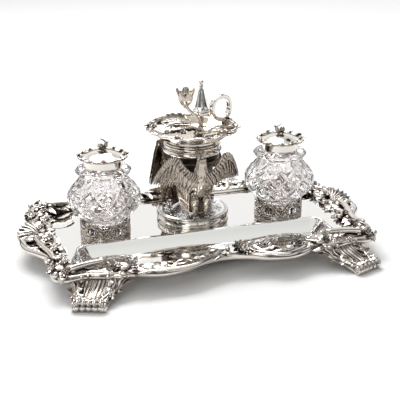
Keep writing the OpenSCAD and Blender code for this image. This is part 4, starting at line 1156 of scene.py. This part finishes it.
# ---------------------------------------------------------------- chamberstick
def chamberstick():
    body = "chamberstick"
    floor_z = low("pan")[2]
    # the pan takes the pan silver, with painted shade across its hollow
    turned("pan_turned", "pan",
           [(0.02, 0), (31, 0), (34, 0.6), (36.6, 2.0), (40, 5), (43.4, 8.0), (43.6, 9.2), (42.6, 9.0),
            (39.2, 6), (36, 3.2), (33.4, 1.7), (30.6, 1.05), (0.02, 1)], body, DISH_PAINTED_SHADE, 0.8)
    turned("bezel_turned", "pan_bezel",
           [(25, 0), (25.8, 0), (26, 0.4), (26, 7.9), (28.6, 8), (29, 8.6), (28.6, 9.3), (26.2, 10), (26, 14),
            (25, 14)], body, corner=0.3)
    at = vec(GROUP[0], GROUP[1], floor_z)
    # cast border of the pan: a wavy rim carrying scrolls, beads and upturned leaves
    cast = Cast()
    base = low("pan_border")[2] - floor_z + 0.6
    a = np.linspace(0, 2 * PI, 721)[:-1]
    wave = 0.6 * np.cos(10 * a) + 0.35 * np.cos(20 * a + 1)
    for r, z, size in ((44.0, 1.4, 1.0), (46.2, 1.2, 1.15)):
        ring = np.column_stack([(r + 0.6 * wave) * np.cos(a), (r + 0.6 * wave) * np.sin(a),
                                base + z + 0.5 * np.sin(10 * a)])
        ring = np.concatenate([ring, ring[:1]])
        bar(cast, ring, size, sides=12)
    revolve(cast, soft([(43, 0.4), (45.6, 0), (46.6, 0.8), (46.2, 1.8), (43.2, 2)], 0.4), 240,
            (0, 0, base), wave=lambda t, z: 1 + 0.010 * np.cos(10 * t) + 0.004 * np.cos(60 * t))
    for k in range(20):
        t0 = 2 * PI * k / 20
        d, t = ray(t0), vec(-math.sin(t0), math.cos(t0), 0)
        c = 45.0 * d + (base + 1.8) * UP
        hand = 1 if k % 2 else -1
        spiral = curl((0, 0), 0.2 * hand, 2.1, 1.35, hand, 24, 0.8)
        bar(cast, in_plane(spiral, c - 2.2 * t + 0.4 * d, t, d), [0.8, 0.75, 0.45], sides=8)
        sprig(cast, [c + 1.5 * t - d, c + 3.6 * t + 0.4 * d + 0.8 * UP, c + 6 * t + 1.2 * d],
              [0.7, 1.9, 1.4, 0.2], cup=0.25, across=9)
        if k % 4 == 1:
            flower(cast, c + 0.2 * UP, UP + 0.3 * d, 3.2, 5, open_=0.62, heart=0.3)
        if k % 2:
            ball(cast, c + 1.2 * d + 5.4 * t, 1.15)
    piece("pan_border_casting", cast, CAST, body, "pan_border", shift=at)
    # broad toothed leaf over the pan's left side, its far edge curled up, with smaller leaves on it
    cast = Cast()
    leaf(cast, curve([(12, 3, 5.4), (2, 5, 8.2), (-10, 6, 9.6), (-22, 6, 9.6), (-33, 6, 8.6), (-39.5, 5, 9)],
                     14), [4, 14, 19, 20, 14, 2.0], lobes=9, notch=0.2, thick=1.0, cup=-0.06, veins=5,
         vein=0.05, across=56)
    leaf(cast, curve([(6, 17, 8.5), (-6, 22, 12), (-18, 23, 12.4), (-28, 19, 11)], 10), [1.6, 6.4, 6, 0.6],
         up=vec(0, -0.6, 0.8), lobes=7, notch=0.3, thick=1.0, cup=0.5, veins=3, vein=0.06, across=24)
    leaf(cast, curve([(4, -4, 8), (-8, -8, 10.6), (-20, -10, 10.8), (-30, -8, 10)], 10), [1.4, 4.6, 4.4, 0.6],
         lobes=6, notch=0.35, thick=1.0, cup=0.35, veins=3, vein=0.1, across=20)
    leaf(cast, curve([(0, 8, 10), (-10, 7, 12.4), (-19, 9, 12), (-27, 6, 11.4)], 10), [1.4, 3.8, 3.4, 0.4],
         lobes=5, notch=0.35, thick=1.0, cup=0.4, veins=2, vein=0.1, across=16)
    for k, (x, y) in enumerate(((-30, -13), (-14, -17), (-36, 14), (4, -12))):
        flower(cast, (x, y, 8.4 - 0.3 * k), (-0.2, -0.4, 1), 4.6, 5, open_=0.6, spin=k)
    piece("leaf_chased", cast, FOLIAGE, body, "leaf", shift=at)
    # twisting stem from the leaf up to the flower, and the twig that loops over the pan
    socket = middle("taper_socket")
    foot_z = low("taper_socket")[2]
    cast = Cast()
    route = curve([(GROUP[0] + 3, GROUP[1] - 1, floor_z + 1.2), (GROUP[0] + 7, GROUP[1] - 2.5, floor_z + 7),
                   (GROUP[0] + 6.6, GROUP[1] - 4, floor_z + 16), (GROUP[0] + 1, GROUP[1] - 4, floor_z + 23),
                   (GROUP[0] - 4, GROUP[1] - 2.4, floor_z + 28), (socket[0], socket[1], foot_z + 1)], 10)
    bar(cast, route, [3.0, 2.1, 1.9, 1.7, 1.6, 2.0], reeds=5, depth=0.18, sides=20)
    ball(cast, (socket[0], socket[1], foot_z - 0.4), 2.6, (1, 1, 0.75))
    loop = curve([(5, -2, 3.5), (15, -8, 4.6), (26, -11, 6), (34, -6, 7), (35, 3, 6.6), (29, 7, 5.6),
                  (22, 2, 4.6), (14, -2, 3.4)], 10) + at
    bar(cast, loop, [1.9, 1.5, 1.3, 1.2, 1.2, 1.1, 1.0], reeds=4, depth=0.2, sides=16)
    for p, q, w in (((26, -11, 6), (32, -18, 7.4), 2.2), ((34, -6, 7), (40, -8, 8.6), 1.9),
                    ((15, -8, 4.6), (18, -16, 5.6), 2.4), ((8, -3, 8), (14, -7, 10.5), 2.0)):
        p, q = vec(*p) + at, vec(*q) + at
        sprig(cast, [p, (p + q) / 2 + UP, q], [0.7, w, w * 0.8, 0.2])
    piece("stem_casting", cast, FOLIAGE, body, "flower_stem")
    # tulip socket: five pointed, flaring petals round the bore
    cast = Cast()
    rise = high("taper_socket")[2] - foot_z
    a = around(240)
    tip = np.abs(np.cos(2.5 * a)) ** 1.1
    ribs = 0.28 * np.abs(np.sin(10 * a)) ** 0.5
    line = curve([(0.3, 0), (2.6, 0.1), (4.6, 1.6), (6.4, 4), (7.5, 7.4), (7.5, 10.6), (7.9, 13.2),
                  (9.4, 16)], 6)
    back = curve([(8.9, 16.1), (7.1, 13.4), (5.6, 11.6), (4.5, 10.6), (4.5, 7), (4.5, 4.1), (0.3, 4.1)], 6)
    loop = np.concatenate([line, back])
    top = smooth((loop[:, 1] - 9) / 7)[:, None]
    r = loop[:, :1] * (1 + top * (0.10 * tip[None] - 0.03)) \
        - (0.9 * (1 - tip[None]) ** 3 + ribs[None]) * smooth((loop[:, :1] - 5) / 2) * (loop[:, 1:] > 2)
    z = loop[:, 1:] + top * (2.2 * tip[None] - 4.4 * (1 - tip[None]))
    z = np.minimum(z, rise)
    cast.grid(np.stack([r * np.cos(a), r * np.sin(a), z], -1), wrap_u=True, wrap_v=True)
    piece("tulip_socket", cast, PETAL, body, "taper_socket", shift=(socket[0], socket[1], foot_z))
    # finger ring: a strap bent to a circle
    ring = middle("finger_ring")
    out = unit(ring[:2] - GROUP[:2])
    across = vec(-out[1], out[0], 0)
    section = soft([(-2.9, 10.3), (-3.2, 11), (-3.2, 13.8), (-2.5, 14.3), (-1.2, 13.9), (1.2, 13.9),
                    (2.5, 14.3), (3.2, 13.8), (3.2, 11), (2.9, 10.3), (0, 10.7)], 0.35)
    a = around(160)
    spoke = np.cos(a)[:, None] * vec(out[0], out[1], 0) + np.sin(a)[:, None] * UP
    cast = Cast()
    cast.grid(ring + section[None, :, 1:] * spoke[:, None] + section[None, :, :1] * across, wrap_u=True,
              wrap_v=True)
    piece("finger_ring_strap", cast, RIM, body, "finger_ring")
    turned("snuffer_seat_turned", "snuffer_seat",
           [(0.02, 0), (6, 0), (5.6, 0.8), (3.6, 2), (2.5, 5), (2.2, 8), (2.3, 13), (3.2, 16), (4.6, 18),
            (8.4, 19.4), (9, 20.4), (9, 22.4), (8.6, 23), (0.02, 23)], body, corner=0.5)


def snuffer():
    body = "snuffer"
    lo, hi = low("snuffer_cone"), high("snuffer_cone")
    at = vec((lo[0] + hi[0]) / 2, (lo[1] + hi[1]) / 2, lo[2])
    h = hi[2] - lo[2]

    def panels(a, z):
        return 1 - 0.10 * np.abs(np.sin(4 * a)) * smooth((z - 2.6) / 1.5) * smooth((h - 1 - z) / 2)

    cast = Cast()
    revolve(cast, soft([(6.9, 0), (8.3, 0), (8.5, 0.6), (8.2, 1.3), (7.5, 1.8), (7.2, 2.6), (6.6, 5),
                        (5.4, 10), (4.3, 15), (3.2, 20), (2.2, 24), (1.9, h), (0.02, h), (0.02, h - 4),
                        (1, h - 5), (3.4, 13), (5.4, 5)], 0.3, 3), 240, at, wave=panels)
    piece("snuffer_cone_panelled", cast, SATIN, body, "snuffer_cone")
    k = high("snuffer_knob")[2] - low("snuffer_knob")[2]
    arc = [(2.7 * math.sin(t), k - 2.7 - 2.7 * math.cos(t)) for t in np.linspace(PI, 0.672, 14)[::-1]]
    turned("snuffer_knob_turned", "snuffer_knob", [(0.02, 0), (2.2, 0), (2.5, 0.5), (2.1, 1.0), (1.4, 1.3)]
           + [(max(r, 0.02), z) for r, z in arc], body, POLISHED, 0.15, 96)


# ---------------------------------------------------------------- the object
tray()
borders()
feet()
bottle_pieces()
plinth()
eagles()
covers()
chamberstick()
snuffer()
# the wafer bowl takes the near-black silver: painted shade under the collar
for name, material in (("wafer_bowl", PAINTED_SHADE), ("snuffer_lug", POLISHED), ("plinth_stud", BRASS),
                       ("plinth_nut", BRASS), ("eagle_nuts", BRASS)):
    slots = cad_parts[name].data.materials
    slots.clear()
    slots.append(material)


# ---------------------------------------------------------------- stage
def studio_world():
    """A bright studio: pale walls, a softer ceiling and dark flags at the sides and behind the camera."""
    world = bpy.data.worlds.new("studio")
    bpy.context.scene.world = world
    world.use_nodes = True
    tree = world.node_tree
    split = node(tree, "ShaderNodeSeparateXYZ")
    tree.links.new(node(tree, "ShaderNodeTexCoord").outputs["Generated"], split.inputs[0])
    azimuth = node(tree, "ShaderNodeMath", operation="ARCTAN2")
    for i in (0, 1):
        tree.links.new(split.outputs[i], azimuth.inputs[i])
    turn, level = node_range(tree, azimuth.outputs[0], -PI, PI), node_range(tree, split.outputs["Z"], -1, 1)
    # round the horizon: 0.5 is beyond the object, 0.25 to its left, 0.75 to its right and 0 or 1 in front
    flags = ramp(tree, [(0.0, (0.42, 0.40, 0.37)), (0.03, (0.10,)), (0.06, (0.08,)),
                        (0.075, (0.85, 0.80, 0.70)), (0.115, (0.95,)), (0.135, (0.20,)), (0.19, (0.03,)),
                        (0.225, (0.03,)), (0.24, (0.92,)), (0.425, (1.0,)), (0.432, (0.03,)),
                        (0.452, (0.03,)), (0.46, (1.0,)), (0.652, (1.0,)), (0.662, (0.03,)), (0.69, (0.03,)),
                        (0.70, (0.95,)), (0.72, (0.9,)), (0.735, (0.03,)), (0.765, (0.03,)), (0.785, (0.9,)),
                        (0.83, (0.8,)), (0.845, (0.05,)), (0.885, (0.05,)), (0.90, (0.75, 0.70, 0.62)),
                        (0.945, (0.30,)), (0.97, (0.06,)), (1.0, (0.42, 0.40, 0.37))], turn)
    height = ramp(tree, [(0.0, (0.9,)), (0.503, (0.5,)), (0.512, (0.06,)), (0.585, (0.06,)), (0.598, (1.0,)),
                         (0.74, (0.97,)), (0.82, (0.70, 0.71, 0.70)), (0.92, (0.76, 0.78, 0.77)),
                         (1.0, (0.88, 0.89, 0.88))], level)
    above = ramp(tree, [(0.84, (0.0,)), (0.91, (1.0,))], level)
    walls = mix(tree, 1.0, mix(tree, above, flags, (1, 1, 1, 1)), height, blend_type="MULTIPLY")
    # a dark strip high on the right, between the walls and the ceiling
    right = ramp(tree, [(0.61, (0.0,)), (0.62, (1.0,)), (0.80, (1.0,)), (0.81, (0.0,))], turn)
    strip = ramp(tree, [(0.845, (0.0,)), (0.855, (1.0,)), (0.91, (1.0,)), (0.92, (0.0,))], level)
    shade = mix(tree, 1.0, right, strip, blend_type="MULTIPLY")
    background = tree.nodes["Background"]
    tree.links.new(mix(tree, shade, walls, (0.03, 0.03, 0.035, 1)), background.inputs["Color"])
    background.inputs["Strength"].default_value = 1.0


def node_range(tree, source, lowest, highest):
    made = node(tree, "ShaderNodeMapRange", {"From Min": lowest, "From Max": highest})
    tree.links.new(source, made.inputs["Value"])
    return made.outputs["Result"]


def area_light(name, at, aim, size, watts):
    data = bpy.data.lights.new(name, "AREA")
    data.shape, data.size, data.size_y = "RECTANGLE", *size
    data.energy = watts
    obj = bpy.data.objects.new(name, data)
    bpy.context.scene.collection.objects.link(obj)
    obj.location = at
    obj.rotation_euler = (Vector(aim) - Vector(at)).to_track_quat("-Z", "Y").to_euler()


def floor():
    m, tree, bsdf = new_material("sweep")
    shade = ramp(tree, [(0.0, (0.90,)), (1.0, (0.93,))], noise(tree, 3.0))
    tree.links.new(shade, bsdf.inputs["Base Color"])
    away = node(tree, "ShaderNodeVectorMath", operation="LENGTH")
    tree.links.new(node(tree, "ShaderNodeTexCoord").outputs["Object"], away.inputs[0])
    # painted light: the floor glows more the farther it is from the object, so the far floor turns white
    # without a lamp
    painted_far_glow = ramp(tree, [(0.35, (0.0,)), (0.8, (0.3,))], node_range(tree, away.outputs["Value"], 0, 1.2))
    tree.links.new(painted_far_glow, bsdf.inputs["Emission Color"])
    for name, value in (("Emission Strength", 1.0), ("Roughness", 0.6), ("Specular IOR Level", 0.1)):
        bsdf.inputs[name].default_value = value
    mesh = bpy.data.meshes.new("sweep")
    s = 6.0
    mesh.from_pydata([(-s, -s, 0), (s, -s, 0), (s, s, 0), (-s, s, 0)], [], [(0, 1, 2, 3)])
    mesh.materials.append(m)
    obj = bpy.data.objects.new("sweep", mesh)
    bpy.context.scene.collection.objects.link(obj)


def camera():
    azimuth, elevation = math.radians(-17.59), math.radians(21.11)
    back = Vector((math.sin(azimuth) * math.cos(elevation), -math.cos(azimuth) * math.cos(elevation),
                   math.sin(elevation)))
    data = bpy.data.cameras.new("camera")
    data.lens, data.sensor_width = 78.14, 36
    data.clip_start, data.clip_end = 0.01, 50
    obj = bpy.data.objects.new("camera", data)
    bpy.context.scene.collection.objects.link(obj)
    obj.location = Vector((-247.76, -795.39, 366.38)) * MM
    obj.rotation_euler = (-back).to_track_quat("-Z", "Y").to_euler()
    bpy.context.scene.camera = obj


studio_world()
floor()
camera()
area_light("overhead", (-0.1, 0.6, 1.05), (0, 0, 0), (1.0, 0.6), 13.0)
area_light("front_fill", (-0.9, -1.0, 0.9), (0, 0, 0.05), (0.5, 0.8), 3.0)
bpy.context.scene.view_settings.view_transform = "Standard"
